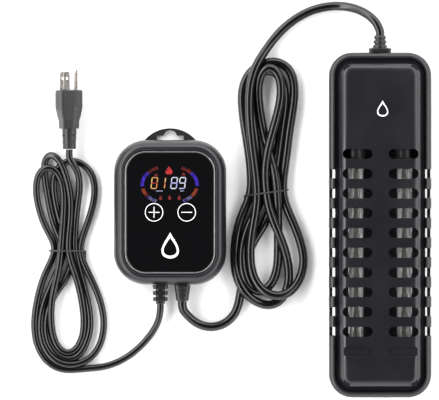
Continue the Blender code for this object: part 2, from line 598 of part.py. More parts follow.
def plug(parent):
    """A moulded three-pin plug. Its origin is the middle of its face, with the pins along +Z."""
    sections = [
        (11.6, 11.6, 5, -59), (12.2, 12.2, 5, -58), (14, 14, 6, -40), (17, 18, 6.5, -38.5), (19.5, 20.5, 7, -31),
        (22.5, 23, 7, -22), (23, 23.5, 6.5, -17), (23, 23.5, 6, -1.4), (20.6, 21.1, 5, 0),
    ]
    obj = add("plug_body", lofted("plug_body", sections, steps=4), RUBBER, parent)
    cuts = new_collection("plug_body_cuts", CUTTERS)
    blade_thickness, blade_width, blade_length = 1.5, 6.35, 18.4
    for name, u in (("plug_blade_line", BLADE_U), ("plug_blade_neutral", -BLADE_U)):
        half = blade_width / 2
        shape = [(-half, -PIN_SOCKET + GAP), (half, -PIN_SOCKET + GAP), (half, blade_length - 1.4),
                 (half - 1.4, blade_length), (1.4 - half, blade_length), (-half, blade_length - 1.4)]
        mesh = prism(name, shape, -blade_thickness / 2, blade_thickness / 2)
        facing = (math.pi / 2, 0, math.pi / 2)
        blade = add(name, mesh, BRASS, parent, (u, BLADE_V, 0), facing)
        eye = new_collection(name + "_eye", CUTTERS)
        helper(prism("eye", circle(1.6, (0, 11.7), 12), -3, 3), eye, blade)
        combine(blade, "DIFFERENCE", eye)
        socket = (blade_thickness + 2 * GAP, blade_width + 2 * GAP, 2 * PIN_SOCKET)
        helper(box("blade_socket", socket, (u, BLADE_V, 0)), cuts, parent)
    pin_radius, pin_length = 2.4, 21.5
    pin = [(0, pin_length), (1.1, pin_length - 0.4), (2.1, pin_length - 1.8), (pin_radius, pin_length - 3.4),
           (pin_radius, -PIN_SOCKET + GAP), (0, -PIN_SOCKET + GAP)]
    turned("plug_ground_pin", pin, BRASS, parent, (0, PIN_V, 0), flats=16)
    helper(prism("pin_socket", circle(pin_radius + GAP, (0, PIN_V), 16), -PIN_SOCKET, 3), cuts, parent)
    combine(obj, "DIFFERENCE", cuts)


# ---------------------------------------------------------------- cords


def hank(name, stops, height, tie):
    """The gathered turns of a cord as one solid, waisted under its tie, with a groove beneath for it."""
    obj = add(name, prism(name, smooth_loop(stops), 0, height), CORD)
    groove = new_collection(name + "_groove", CUTTERS)
    turn = (0, 0, math.radians(tie["tilt"]))
    size = (tie["width"] + 20, TIE_WIDTH + 1, 2 * TIE_CHANNEL)
    helper(box("groove", size), groove, None, (*tie["centre"], 0), turn)
    combine(obj, "DIFFERENCE", groove)


def tie_ring(name, height, tie):
    """A flat tie: a rectangular hoop round the waist of the hank."""
    inner_low, inner_high = TIE_THICKNESS, height + GAP
    obj = add(name, box(name, (tie["width"] + 2 * TIE_THICKNESS, TIE_WIDTH, inner_high + TIE_THICKNESS),
                        (0, 0, (inner_high + TIE_THICKNESS) / 2)),
              TIE, None, (*tie["centre"], 0), (0, 0, math.radians(tie["tilt"])))
    inside = new_collection(name + "_inside", CUTTERS)
    size = (tie["width"], TIE_WIDTH + 4, inner_high - inner_low)
    helper(box("inside", size, (0, 0, (inner_low + inner_high) / 2)), inside, obj)
    combine(obj, "DIFFERENCE", inside)


def cords():
    tube("mains_cord_upper", smooth(MAINS_FROM_PLUG, 4), MAINS_CORD, CORD)
    tube("mains_cord_lower", smooth(MAINS_FROM_BOX, 14), MAINS_CORD, CORD)
    tube("heater_cord_upper", smooth(HEATER_FROM_GUARD, 14), HEATER_CORD, CORD)
    tube("heater_cord_lower", smooth(HEATER_FROM_BOX, 14), HEATER_CORD, CORD)
    hank("mains_cord_hank", MAINS_HANK_OUTLINE, MAINS_HANK_HEIGHT, MAINS_TIE)
    hank("heater_cord_hank", HEATER_HANK_OUTLINE, HEATER_HANK_HEIGHT, HEATER_TIE)
    tie_ring("mains_cord_tie", MAINS_HANK_HEIGHT, MAINS_TIE)
    tie_ring("heater_cord_tie", HEATER_HANK_HEIGHT, HEATER_TIE)


# ---------------------------------------------------------------- assembly

clear_scene()
PARTS = new_collection("submersible_aquarium_heater", bpy.context.scene.collection)
CUTTERS = new_collection("cutters", bpy.context.scene.collection)

CHARCOAL = finish("satin_charcoal", (0.018, 0.018, 0.022), 0.38)
BLACK = finish("black_plastic", (0.012, 0.012, 0.013), 0.5)
RUBBER = finish("black_rubber", (0.015, 0.015, 0.015), 0.65)
CORD = finish("glossy_cord", (0.008, 0.008, 0.009), 0.25)
TIE = finish("tie_plastic", (0.02, 0.02, 0.02), 0.5)
STEEL = finish("steel", (0.6, 0.6, 0.6), 0.3, 1.0)
BRASS = finish("nickelled_brass", (0.7, 0.66, 0.58), 0.28, 1.0)
QUARTZ = finish("quartz", (0.85, 0.87, 0.88), 0.1)
CERAMIC = finish("white_ceramic", (0.8, 0.79, 0.76), 0.55)
NICHROME = finish("nichrome", (0.32, 0.31, 0.3), 0.45, 1.0)
SLEEVING = finish("glass_sleeving", (0.7, 0.68, 0.62), 0.8)
GLASS = finish("black_glass", (0.004, 0.004, 0.005), 0.08)
TRIM = finish("satin_trim", (0.45, 0.45, 0.46), 0.35, 1.0)
WHITE = finish("display_housing", (0.75, 0.75, 0.75), 0.5)
BOARD = finish("board_green", (0.02, 0.14, 0.05), 0.45)
RELAY_BLUE = finish("relay_blue", (0.02, 0.09, 0.35), 0.4)
TAPE_YELLOW = finish("winding_tape", (0.7, 0.5, 0.05), 0.5)
TERMINAL_GREEN = finish("terminal_green", (0.02, 0.3, 0.1), 0.45)

heater = empty("heater", HEATER_AT)
rear_guard(heater)
front_guard(heater)
guard_screws(heater)
for cup_name, cup_x, cup_y in (
    ("suction_cup_top_left", -CUP_X, CUP_Y), ("suction_cup_top_right", CUP_X, CUP_Y),
    ("suction_cup_bottom_left", -CUP_X, -CUP_Y), ("suction_cup_bottom_right", CUP_X, -CUP_Y),
):
    suction_cup(cup_name, heater, cup_x, cup_y)
heating_tube("left", -TUBE_X, heater)
heating_tube("right", TUBE_X, heater)
tube_bracket(heater)
sealed_head(heater)
head_fittings(heater)
cord_gland(heater)

controller = empty("controller", BOX_AT)
controller_front(controller)
controller_back(controller)
control_face(controller)
electronics(controller)
strain_reliefs(controller)

rolled = Euler((0, PLUG_ROLL, 0)).to_matrix() @ Euler(ALONG_Y).to_matrix()
plug(empty("plug", PLUG_AT, rolled.to_euler()))
cords()
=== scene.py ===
import json
import math
import bmesh
import bpy
import numpy as np
from mathutils import Matrix, Vector

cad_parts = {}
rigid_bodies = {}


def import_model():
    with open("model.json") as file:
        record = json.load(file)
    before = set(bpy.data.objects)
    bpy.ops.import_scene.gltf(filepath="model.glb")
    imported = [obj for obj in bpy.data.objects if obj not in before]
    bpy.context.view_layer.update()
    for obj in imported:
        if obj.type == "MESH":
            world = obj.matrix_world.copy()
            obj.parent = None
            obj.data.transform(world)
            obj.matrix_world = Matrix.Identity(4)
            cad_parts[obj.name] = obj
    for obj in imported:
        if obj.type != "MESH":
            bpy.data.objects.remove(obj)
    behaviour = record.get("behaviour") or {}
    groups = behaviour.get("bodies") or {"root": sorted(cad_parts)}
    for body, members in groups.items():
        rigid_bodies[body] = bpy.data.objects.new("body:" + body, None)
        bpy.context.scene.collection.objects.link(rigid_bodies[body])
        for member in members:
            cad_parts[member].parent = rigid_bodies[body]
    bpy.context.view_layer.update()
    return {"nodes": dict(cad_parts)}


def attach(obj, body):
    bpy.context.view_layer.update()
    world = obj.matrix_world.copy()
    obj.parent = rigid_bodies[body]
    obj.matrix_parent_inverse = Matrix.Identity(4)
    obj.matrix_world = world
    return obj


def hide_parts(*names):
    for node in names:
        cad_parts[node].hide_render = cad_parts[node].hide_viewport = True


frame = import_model()
nodes = frame["nodes"]
body = "heater_set"

# ---------------------------------------------------------------- viewpoint, table and light
# The set lies on a white table under a studio sky that is dark overhead and bright low down,
# so flat black faces stay deep and their rounded edges catch the light.
scene = bpy.context.scene
mm = 0.001

camera_height, plane_height, picture_width = 6.0, 0.02, 0.439
camera = bpy.data.objects.new("camera", bpy.data.cameras.new("camera"))
scene.collection.objects.link(camera)
camera.location = (-0.0528, 0.0165, camera_height)
camera.data.sensor_width = 36
camera.data.lens = camera.data.sensor_width * (camera_height - plane_height) / picture_width
camera.data.clip_end = 20
scene.camera = camera
scene.view_settings.view_transform = "Standard"


def material(name, **values):
    """A Principled material with these values on the shader's own sockets."""
    made = bpy.data.materials.new(name)
    made.use_nodes = True
    shader = made.node_tree.nodes["Principled BSDF"]
    for socket, value in values.items():
        socket = socket.replace("_", " ").title().replace("Ior", "IOR")
        shader.inputs[socket].default_value = (*value, 1) if isinstance(value, tuple) else value
    return made, made.node_tree.nodes, made.node_tree.links, shader


def new_object(name, data, finish=None):
    made = bpy.data.objects.new(name, data)
    scene.collection.objects.link(made)
    if finish:
        data.materials.append(finish)
    return made


def area_light(name, at, towards, size, power, colour=(1, 1, 1)):
    data = bpy.data.lights.new(name, "AREA")
    data.shape, data.size, data.size_y = "RECTANGLE", *size
    data.energy, data.color = power, colour
    made = new_object(name, data)
    made.location = at
    made.rotation_euler = (Vector(towards) - Vector(at)).to_track_quat("-Z", "Y").to_euler()
    return made


def node_group(name, inputs, outputs):
    """An empty shader group with these sockets, as name: (type, value)."""
    group = bpy.data.node_groups.new(name, "ShaderNodeTree")
    for side, sockets in (("INPUT", inputs), ("OUTPUT", outputs)):
        for label, (kind, value) in sockets.items():
            socket = group.interface.new_socket(label, in_out=side, socket_type="NodeSocket" + kind)
            if value is not None:
                socket.default_value = value
    return group, group.nodes.new("NodeGroupInput"), group.nodes.new("NodeGroupOutput")


# Moulding grain: a fine height, and slow blotches that vary the gloss and the shade.
grain_group, grain_in, grain_out = node_group(
    "moulding_grain", {"Size": ("Float", 900.0), "Blotch Size": ("Float", 25.0)},
    {"Height": ("Float", None), "Blotches": ("Float", None)},
)
where = grain_group.nodes.new("ShaderNodeTexCoord")
fine, broad = (grain_group.nodes.new("ShaderNodeTexNoise") for _ in range(2))
fine.inputs["Detail"].default_value, broad.inputs["Detail"].default_value = 3, 2
for noise, size, out in ((fine, "Size", "Height"), (broad, "Blotch Size", "Blotches")):
    grain_group.links.new(where.outputs["Object"], noise.inputs["Vector"])
    grain_group.links.new(grain_in.outputs[size], noise.inputs["Scale"])
    grain_group.links.new(noise.outputs["Fac"], grain_out.inputs[out])

# Handled edges: proud edges are a little lighter, where they rub and where the mould polishes them.
edge_group, edge_in, edge_out = node_group(
    "handled_edges",
    {"Colour": ("Color", (0, 0, 0, 1)), "Edge Colour": ("Color", (0.1, 0.1, 0.1, 1)),
     "Amount": ("Float", 0.5),
     "Blotches": ("Float", 0.5)},
    {"Colour": ("Color", None), "Mask": ("Float", None)},
)
shape_of, rounded = (edge_group.nodes.new(kind) for kind in ("ShaderNodeNewGeometry", "ShaderNodeBevel"))
rounded.samples = 4
rounded.inputs["Radius"].default_value = 0.8 * mm
turned_by = edge_group.nodes.new("ShaderNodeVectorMath")
turned_by.operation = "DOT_PRODUCT"
proud, patchy, strong = (edge_group.nodes.new(kind) for kind in (
    "ShaderNodeMapRange", "ShaderNodeMath", "ShaderNodeMath",
))
proud.inputs["From Min"].default_value, proud.inputs["From Max"].default_value = 0.995, 0.85
patchy.operation = strong.operation = "MULTIPLY"
tint = edge_group.nodes.new("ShaderNodeMix")
tint.data_type = "RGBA"
edge_group.links.new(shape_of.outputs["Normal"], turned_by.inputs[0])
edge_group.links.new(rounded.outputs["Normal"], turned_by.inputs[1])
edge_group.links.new(turned_by.outputs["Value"], proud.inputs["Value"])
edge_group.links.new(proud.outputs["Result"], patchy.inputs[0])
edge_group.links.new(edge_in.outputs["Blotches"], patchy.inputs[1])
edge_group.links.new(patchy.outputs[0], strong.inputs[0])
edge_group.links.new(edge_in.outputs["Amount"], strong.inputs[1])
edge_group.links.new(strong.outputs[0], tint.inputs["Factor"])
edge_group.links.new(edge_in.outputs["Colour"], tint.inputs["A"])
edge_group.links.new(edge_in.outputs["Edge Colour"], tint.inputs["B"])
edge_group.links.new(tint.outputs["Result"], edge_out.inputs["Colour"])
edge_group.links.new(strong.outputs[0], edge_out.inputs["Mask"])


def moulded(name, colour, edge_colour, gloss, grain=900.0, depth=0.15, edges=0.5, blotch=25.0, **values):
    """A moulded finish. gloss is the range of its roughness; depth is how deep its grain is."""
    made, tree, links, shader = material(name, **values)
    grains, edged, bump, range_of = (
        tree.new("ShaderNodeGroup"), tree.new("ShaderNodeGroup"), tree.new("ShaderNodeBump"),
        tree.new("ShaderNodeMapRange"),
    )
    grains.node_tree, edged.node_tree = grain_group, edge_group
    grains.inputs["Size"].default_value, grains.inputs["Blotch Size"].default_value = grain, blotch
    edged.inputs["Colour"].default_value = (*colour, 1)
    edged.inputs["Edge Colour"].default_value = (*edge_colour, 1)
    edged.inputs["Amount"].default_value = edges
    bump.inputs["Strength"].default_value, bump.inputs["Distance"].default_value = depth, 0.0004
    range_of.inputs["From Min"].default_value, range_of.inputs["From Max"].default_value = 0.3, 0.7
    range_of.inputs["To Min"].default_value, range_of.inputs["To Max"].default_value = gloss
    links.new(grains.outputs["Blotches"], edged.inputs["Blotches"])
    links.new(grains.outputs["Blotches"], range_of.inputs["Value"])
    links.new(grains.outputs["Height"], bump.inputs["Height"])
    links.new(edged.outputs["Colour"], shader.inputs["Base Color"])
    links.new(range_of.outputs["Result"], shader.inputs["Roughness"])
    links.new(bump.outputs["Normal"], shader.inputs["Normal"])
    return made


table_finish = moulded("table_white", (0.93, 0.93, 0.935), (0.93, 0.93, 0.935), (0.6, 0.75), 60, 0.02, 0.0, 2)
table = bpy.data.meshes.new("table")
table.from_pydata([(-4, -4, -0.0004), (4, -4, -0.0004), (4, 4, -0.0004), (-4, 4, -0.0004)], [],
                  [(0, 1, 2, 3)])
new_object("table", table, table_finish)

sky = bpy.data.worlds.new("studio")
scene.world = sky
sky.use_nodes = True
sky_nodes, sky_links = sky.node_tree.nodes, sky.node_tree.links
sky_place = sky_nodes.new("ShaderNodeTexCoord")
sky_split = sky_nodes.new("ShaderNodeSeparateXYZ")
sky_ramp = sky_nodes.new("ShaderNodeValToRGB")
sky_links.new(sky_place.outputs["Generated"], sky_split.inputs[0])
sky_links.new(sky_split.outputs["Z"], sky_ramp.inputs[0])
sky_links.new(sky_ramp.outputs[0], sky_nodes["Background"].inputs[0])
sky_bands = [(0.0, 0.35), (0.2, 0.55), (0.45, 0.42), (0.7, 0.16), (0.86, 0.012), (1.0, 0.006)]
for _ in sky_bands[2:]:
    sky_ramp.color_ramp.elements.new(0.5)
for element, (height, level) in zip(sky_ramp.color_ramp.elements, sky_bands):
    element.position, element.color = height, (level, level, level * 1.01, 1)
sky_nodes["Background"].inputs[1].default_value = 5.0
area_light("left_strip", (-1.2, 0.1, 1.15), (0, 0, 0), (2.8, 0.6), 34)
area_light("right_strip", (1.2, 0.1, 1.15), (0, 0, 0), (2.8, 0.5), 20)
area_light("top_strip", (0, 1.5, 0.8), (0, 0, 0), (2.6, 0.45), 15)
area_light("foot_strip", (0, -1.3, 1.1), (0, 0, 0), (2.6, 0.3), 5)

# ---------------------------------------------------------------- mains cord
# Round black PVC flex, 7 mm across, glossy from the extruder. It leaves the controller's stepped relief,
# runs along the table and is folded into a hank, held by a wire tie, with the plug at its end.
MAINS = 7.0
mains_from_box = [
    (-112.0, -87.6, 12.5), (-112.0, -91.5, 12.4), (-113.6, -102.5, 9.6), (-118.0, -112.0, 6.2),
    (-124.0, -121.0, 4.2), (-131.5, -129.5, 3.6), (-141.5, -138.0, 3.6), (-152.5, -145.0, 3.6),
    (-164.5, -149.5, 3.6), (-176.0, -151.6, 3.6),
]
mains_to_plug = [(-203.2, 60.0, 12.6), (-203.2, 63.6, 13.0), (-203.2, 67.1, 13.1)]
# Each turn of the hank is a list of stops: x and y in millimetres, and the number of cords beneath.
mains_turns = [
    [(-189.5, -151.1, 0), (-200.5, -152.8, 0), (-212.5, -152.1, 0), (-224.5, -145.2, 0), (-233.5, -130.5, 0),
     (-237.1, -111.5, 0), (-235, -86.5, 0), (-226.5, -59.1, 0), (-218.5, -42.5, 0), (-214.9, -32.5, 0),
     (-218.5, -25.5, 0), (-226.5, -13.5, 0), (-233.7, 7.9, 0), (-236.5, 28.5, 0.2), (-234, 43, 0.6),
     (-226.2, 50.5, 1), (-217.5, 48, 1.2), (-212, 39.5, 1.2), (-209.2, 26.5, 1.2), (-209.1, 7.9, 1.3),
     (-210.5, -12.5, 1.3)],
    [(-211.9, -33.5, 1.2), (-214, -53.5, 1.2), (-218.5, -71.5, 1.2), (-221.6, -88.5, 1.2),
     (-221.9, -105.5, 1.2),
     (-219, -123.5, 1.2), (-212.5, -135.5, 1.2), (-204.5, -139.5, 1.2), (-195.5, -133.5, 1.2),
     (-189.5, -120.5, 1.2), (-187.7, -104.5, 1.2), (-190, -83.5, 1.2), (-195.5, -60.5, 1.3),
     (-201.5, -45.5, 1.3),
     (-204.9, -33.5, 1.3), (-203.2, -15.5, 1.3), (-201.7, 6.5, 1.3), (-201.7, 26.5, 1.3), (-205.5, 45.5, 1.3),
     (-213, 58, 1.2), (-221.9, 63.5, 0.8), (-227.9, 59, 0.3), (-228.9, 49.5, 0), (-227, 34.5, 0),
     (-223.5, 14.5, 0), (-217.5, -9.5, 0), (-210.5, -26.5, 0)],
    [(-208.5, -34.5, 0), (-212.5, -49.5, 0.3), (-220.5, -67.5, 0.8), (-228, -85.5, 1.1),
     (-231.9, -105.5, 1.1),
     (-230.5, -124.5, 1.1), (-222.5, -139.5, 1.1), (-209.5, -148.1, 1.1), (-195.5, -147.9, 0.9),
     (-182.5, -141.5, 0.5), (-173.5, -128.5, 0.2), (-169.7, -111.5, 0), (-172.5, -92.5, 0),
     (-179.7, -73.5, 0),
     (-188, -53.5, 0), (-193.5, -40.5, 0), (-194.8, -33.5, 0), (-191.5, -21.5, 0), (-184.5, -1.5, 0),
     (-179.3, 17.5, 0), (-178.3, 32.5, 0), (-183, 46.5, 0), (-192.5, 53.7, 0), (-203.5, 56, 0),
     (-212.5, 52, 0),
     (-218, 41.5, 0), (-218.7, 26.5, 0), (-215.5, 6.5, 0), (-209, -15.5, 0), (-203.5, -27.5, 0)],
    [(-201.7, -34.5, 0), (-205.5, -49.5, 0), (-214.5, -67.5, 0), (-222.5, -85.5, 0), (-226.7, -105.5, 0),
     (-225.5, -123.5, 0), (-217.5, -137.5, 0), (-206.5, -143.5, 0), (-195.5, -141, 0), (-187, -129.5, 0),
     (-183, -111.5, 0), (-184.5, -90.5, 0.2), (-189.5, -67.5, 0.8), (-195, -47.5, 1.1), (-198.1, -33.5, 1.1),
     (-197.5, -12.5, 0.6), (-196.5, 8.5, 0.2), (-194.7, 24.5, 0.6), (-194.9, 39.5, 0.9), (-198, 50.5, 1.1),
     (-201.9, 56.5, 1.2)],
]


def smooth_route(stops, spacing):
    """Evenly spaced points on a smooth curve through the stops."""
    stops = np.array(stops, float)
    ends = np.vstack([2 * stops[0] - stops[1], stops, 2 * stops[-1] - stops[-2]])
    share = np.linspace(0, 1, 24, endpoint=False)[:, None]
    parts = []
    for a, b, c, d in zip(ends, ends[1:], ends[2:], ends[3:]):
        parts.append(0.5 * (
            2 * b + (c - a) * share + (2 * a - 5 * b + 4 * c - d) * share**2
            + (3 * b - a - 3 * c + d) * share**3
        ))
    fine = np.vstack([*parts, stops[-1:]])
    run = np.concatenate([[0], np.cumsum(np.linalg.norm(np.diff(fine, axis=0), axis=1))])
    wanted = np.linspace(0, run[-1], max(2, round(run[-1] / spacing)) + 1)
    return np.stack([np.interp(wanted, run, fine[:, axis]) for axis in range(3)], axis=1)


def settle(points, diameter, rounds=220):
    """Lets a cord sink onto the table and onto itself. It is stiff, so a push spreads along it in a long low
    hump; a turn that was laid over another stays over it; and both ends stay where they are fixed."""
    count, radius = len(points), diameter / 2
    spacing = np.linalg.norm(np.diff(points, axis=0), axis=1).mean()
    number = np.arange(count)
    curve = np.diff(np.eye(count), 2, axis=0)
    ends = np.diag(np.where((number < 6) | (number >= count - 6), 1e4, 0.0))
    bending, one = curve.T @ curve, np.eye(count)
    points = np.linalg.solve(one + ends + (8.0 / spacing) ** 4 * bending, points + ends @ points)
    stiff_across, stiff_down = (
        np.linalg.inv(one + ends + (9.0 / spacing) ** 4 * bending + pull * one) for pull in (0.12, 0.0)
    )
    apart = math.ceil(2.5 * diameter / spacing)
    moved = np.zeros_like(points)
    for turn in range(rounds):
        place = points + moved
        if turn % 8 == 0:
            gap = np.linalg.norm(place[:, None] - place[None], axis=2)
            first, second = np.nonzero((gap < diameter * 1.6) & (number[None] - number[:, None] > apart))
            above = points[first, 2] - points[second, 2]
            order = np.sign(above) * (np.abs(above) > 0.3 * diameter)
        between = place[first] - place[second]
        height = between[:, 2] * order
        wrong = (order != 0) & (height < 0)
        reach = np.linalg.norm(between, axis=1)
        lack = np.clip(diameter - np.where(wrong, -reach, reach), 0, diameter)
        flat = np.where(order != 0, 0.35, 1.0)[:, None]
        way = np.hstack([
            between[:, :2] * flat,
            np.where(order != 0, order * np.maximum(height, 0.5 * diameter), between[:, 2])[:, None],
        ])
        way /= np.linalg.norm(way, axis=1, keepdims=True) + 1e-9
        push = 0.5 * lack[:, None] * way
        total, hits = np.zeros_like(place), np.zeros(count)
        touching = (lack > 0).astype(float)
        np.add.at(total, first, push)
        np.add.at(total, second, -push)
        np.add.at(hits, first, touching)
        np.add.at(hits, second, touching)
        moved += total / np.maximum(hits, 1)[:, None] * 1.2
        moved[:, 2] -= 0.04 * diameter
        under = radius + 0.05 - (points[:, 2] + moved[:, 2])
        moved[:, 2] += np.maximum(under, 0)
        moved = np.hstack([stiff_across @ moved[:, :2], stiff_down @ moved[:, 2:]])
    moved[:, 2] = np.maximum(moved[:, 2], radius + 0.05 - points[:, 2])
    return points + moved


def layered(turns, diameter):
    """The stops of a hank in millimetres, with each layer a little over a cord higher."""
    return [(x, y, diameter * (0.55 + 1.05 * layer)) for turn in turns for x, y, layer in turn]


def cord_object(name, points, diameter, finish, roundness=5):
    """A round cord or wire along these points in millimetres."""
    data = bpy.data.curves.new(name, "CURVE")
    data.dimensions = "3D"
    data.bevel_depth, data.bevel_resolution, data.use_fill_caps = diameter / 2 * mm, roundness, True
    line = data.splines.new("POLY")
    line.points.add(len(points) - 1)
    line.points.foreach_set("co", np.hstack([points * mm, np.ones((len(points), 1))]).ravel())
    line.use_smooth = True
    return new_object(name, data, finish)


cord_finish = moulded("glossy_flex", (0.003, 0.003, 0.0035), (0.012, 0.012, 0.013), (0.16, 0.27), 350, 0.12,
                      0.3)
mains_stops = mains_from_box + layered(mains_turns, MAINS) + mains_to_plug
mains_path = settle(smooth_route(mains_stops, 2.6), MAINS)
mains_cord = cord_object("mains_cord", mains_path, MAINS, cord_finish)


# ---------------------------------------------------------------- heater cord
# Heavier round flex, 9 mm across, from the guard's gland over the table to the controller, in its own hank.
HEATER = 9.0
heater_from_guard = [
    (107.5, 180.8, 27.0), (107.4, 185.0, 27.0), (104.2, 192.6, 26.3), (98.0, 199.5, 24.0),
    (89.5, 205.0, 20.0), (79.5, 209.0, 14.5), (67.5, 210.9, 9.0), (55.5, 210.3, 5.5),
    (42.5, 207.5, 4.6), (29.5, 201.7, 4.6), (17.5, 193.7, 4.6), (7.5, 184.5, 5.0),
    (-0.5, 174.5, 9.0),
]
heater_turns = [
    [(-7.6, 163, 1.0), (-15.5, 149.5, 1.6), (-21, 132.5, 1.7), (-22.7, 110.5, 1.7), (-21.5, 84.8, 1.6),
     (-18.7, 59.5, 1.4), (-16.1, 37.5, 1.3), (-14.9, 20.5, 1.2), (-17, 2.5, 1.2), (-20.5, -16, 1.4),
     (-22.5, -38, 1.5), (-19.9, -57.5, 1.7), (-11.5, -72.5, 2), (3.5, -80, 2), (18, -74.5, 1.2),
     (28.3, -59.5, 0.4), (31.5, -42.5, 0), (27.8, -24.5, 0), (20.5, -4.5, 0), (13.5, 11.5, 0)],
    [(10.5, 22.5, 0), (11.1, 38.5, 0), (13.3, 59.5, 0), (16, 86.5, 0), (20.5, 112.5, 0.2), (21.5, 130.5, 0.2),
     (17, 146.5, 0.3), (6.5, 154.2, 0.3), (-5.5, 153, 0.2), (-17.5, 147.5, 0), (-26, 136.5, 0),
     (-29.5, 121.5, 0), (-27.5, 99.5, 0), (-23.5, 74.5, 0), (-20.7, 51.5, 0), (-19.5, 31.5, 0)],
    [(-18.9, 20.5, 0), (-23.5, 8.5, 0), (-30, -6.5, 0), (-34.5, -23.5, 0), (-36.1, -43.5, 0.3),
     (-33.5, -62.5, 1), (-26, -76.5, 1), (-15.5, -85, 0.4), (-4, -89.5, 0), (7, -86, 0), (14, -76.5, 0),
     (16.5, -62.5, 0), (15.5, -48.5, 0), (10.5, -29.5, 0.4), (2.5, -7.5, 1), (-3, 7.5, 1.2)],
    [(-5.3, 21.5, 1.2), (-6.9, 41.5, 1.3), (-5, 60.5, 1.4), (0, 81.5, 1.5), (6, 103.5, 1.3),
     (9.3, 121.5, 1.2),
     (7.3, 139, 1.3), (0.5, 149.5, 1.4), (-7, 150.5, 1.3), (-13, 143.5, 1), (-15.5, 130.5, 0.6),
     (-15.2, 117.5, 0.3), (-12, 98.5, 0), (-7, 78.5, 0.2), (-1, 58.5, 0.6), (3.3, 38.5, 1.1)],
    [(3.9, 22.5, 1.2), (5, 6.5, 1), (5.8, -9.5, 0.5), (6.7, -26.5, 0), (6.1, -45.5, 0), (1.5, -63.5, 0),
     (-7.5, -74.5, 0), (-19, -74.5, 0.2), (-27, -63.5, 0.8), (-30.2, -45.5, 1), (-28.5, -26.5, 1.1),
     (-22.5, -7.5, 0.8), (-14.5, 8.5, 0.2)],
    [(-9.9, 21.5, 0), (-12, 38.5, 0), (-15.5, 58.5, 0), (-18.5, 78.5, 0), (-20.5, 100.5, 0), (-21, 119.5, 0),
     (-17.5, 136.5, 0), (-8.5, 146.5, 0), (2.5, 146, 0), (9.5, 136.5, 0), (11.9, 120.5, 0), (11.1, 103.5, 0),
     (8.5, 81.5, 0.2), (5, 59.5, 0.2), (1.1, 38.5, 0)],
    [(-0.7, 21.5, 0), (-5.5, 6.5, 0), (-13.5, -9.5, 0), (-21.5, -26.5, 0), (-26.5, -45.5, 0),
     (-29.5, -62.5, 0),
     (-31.9, -76.5, 0)],
]
heater_to_box = [
    (-34.0, -90.0, 4.6), (-39.5, -101.0, 4.6), (-51.5, -109.0, 4.6), (-63.0, -110.8, 4.6),
    (-74.5, -108.0, 5.0),
    (-87.5, -96.0, 9.8), (-90.0, -88.5, 12.4), (-90.0, -84.6, 12.5),
]
heater_stops = heater_from_guard + layered(heater_turns, HEATER) + heater_to_box
heater_path = settle(smooth_route(heater_stops, 3.2), HEATER)
heater_cord = cord_object("heater_cord", heater_path, HEATER, cord_finish)

# ---------------------------------------------------------------- wire ties
# Each hank is held by a length of black plastic-covered wire, 1.8 mm across, drawn tight round the bundle
# and twisted on itself at one side.
tie_radius = 0.9


def around(crossings, radius):
    """The line drawn tight round these round things: a convex outline in the plane of the tie."""
    turn = np.linspace(0, 2 * math.pi, 24, endpoint=False)
    edge = np.vstack([centre + radius * np.stack([np.cos(turn), np.sin(turn)], 1) for centre in crossings])
    edge = edge[np.lexsort((edge[:, 1], edge[:, 0]))]
    halves = []
    for run in (edge, edge[::-1]):
        kept = []
        for point in run:
            while len(kept) > 1 and np.cross(kept[-1] - kept[-2], point - kept[-2]) <= 0:
                kept.pop()
            kept.append(point)
        halves.append(kept[:-1])
    return np.array(halves[0] + halves[1])


def wire_tie(name, cord_path, cord_width, centre, tilt, side):
    """A tie round the cord's runs near this place, ending in a twisted tail on the table."""
    tilt = math.radians(tilt)
    across, along = np.array([math.cos(tilt), math.sin(tilt)]), np.array([-math.sin(tilt), math.cos(tilt)])
    away = (cord_path[:, :2] - centre) @ along
    sideways = (cord_path[:, :2] - centre) @ across
    passes = [
        i for i in range(len(away) - 1) if away[i] * away[i + 1] <= 0 and abs(sideways[i]) < 45
    ]
    crossings = np.stack([sideways[passes], cord_path[passes, 2]], 1)
    hoop = around(crossings, cord_width / 2 + tie_radius * 0.8)
    hoop[:, 1] = np.maximum(hoop[:, 1], tie_radius)
    start = int(np.argmax(side * hoop[:, 0] - 0.4 * hoop[:, 1]))
    hoop = np.roll(hoop, -start, axis=0)
    ring = np.column_stack([hoop, np.zeros(len(hoop))])
    tail_turns, tail_length = 2.5, 7.0
    share = np.linspace(0, 1, 30)
    tails = []
    for phase in (0, math.pi):
        swing = 2 * math.pi * tail_turns * share + phase
        drop = ring[0, 1] + (1.9 - ring[0, 1]) * np.minimum(share * 2, 1)
        tails.append(np.column_stack([
            ring[0, 0] + side * 0.8 * tie_radius * np.cos(swing),
            drop + 0.8 * tie_radius * np.sin(swing),
            -tail_length * share,
        ]))
    wire = np.vstack([tails[0][::-1], ring, tails[1]])
    wire = np.column_stack([centre + wire[:, :1] * across + wire[:, 2:] * along, wire[:, 1]])
    return cord_object(name, smooth_route(wire[::2], 0.9), 2 * tie_radius, tie_finish)


tie_finish = moulded("tie_wire", (0.012, 0.012, 0.012), (0.03, 0.03, 0.03), (0.36, 0.48), 900, 0.2, 0.4)
mains_tie = wire_tie("mains_wire_tie", mains_path, MAINS, (-205.0, -34.5), 0.0, 1)
heater_tie = wire_tie("heater_wire_tie", heater_path, HEATER, (-3.6, 24.0), 8.0, -1)

for piece in (mains_cord, heater_cord):
    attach(piece, body)
for piece in (mains_tie, heater_tie):
    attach(piece, body)
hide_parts("mains_cord_lower", "mains_cord_hank", "mains_cord_upper")
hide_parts("heater_cord_lower", "heater_cord_hank", "heater_cord_upper")
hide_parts("mains_cord_tie")
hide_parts("heater_cord_tie")

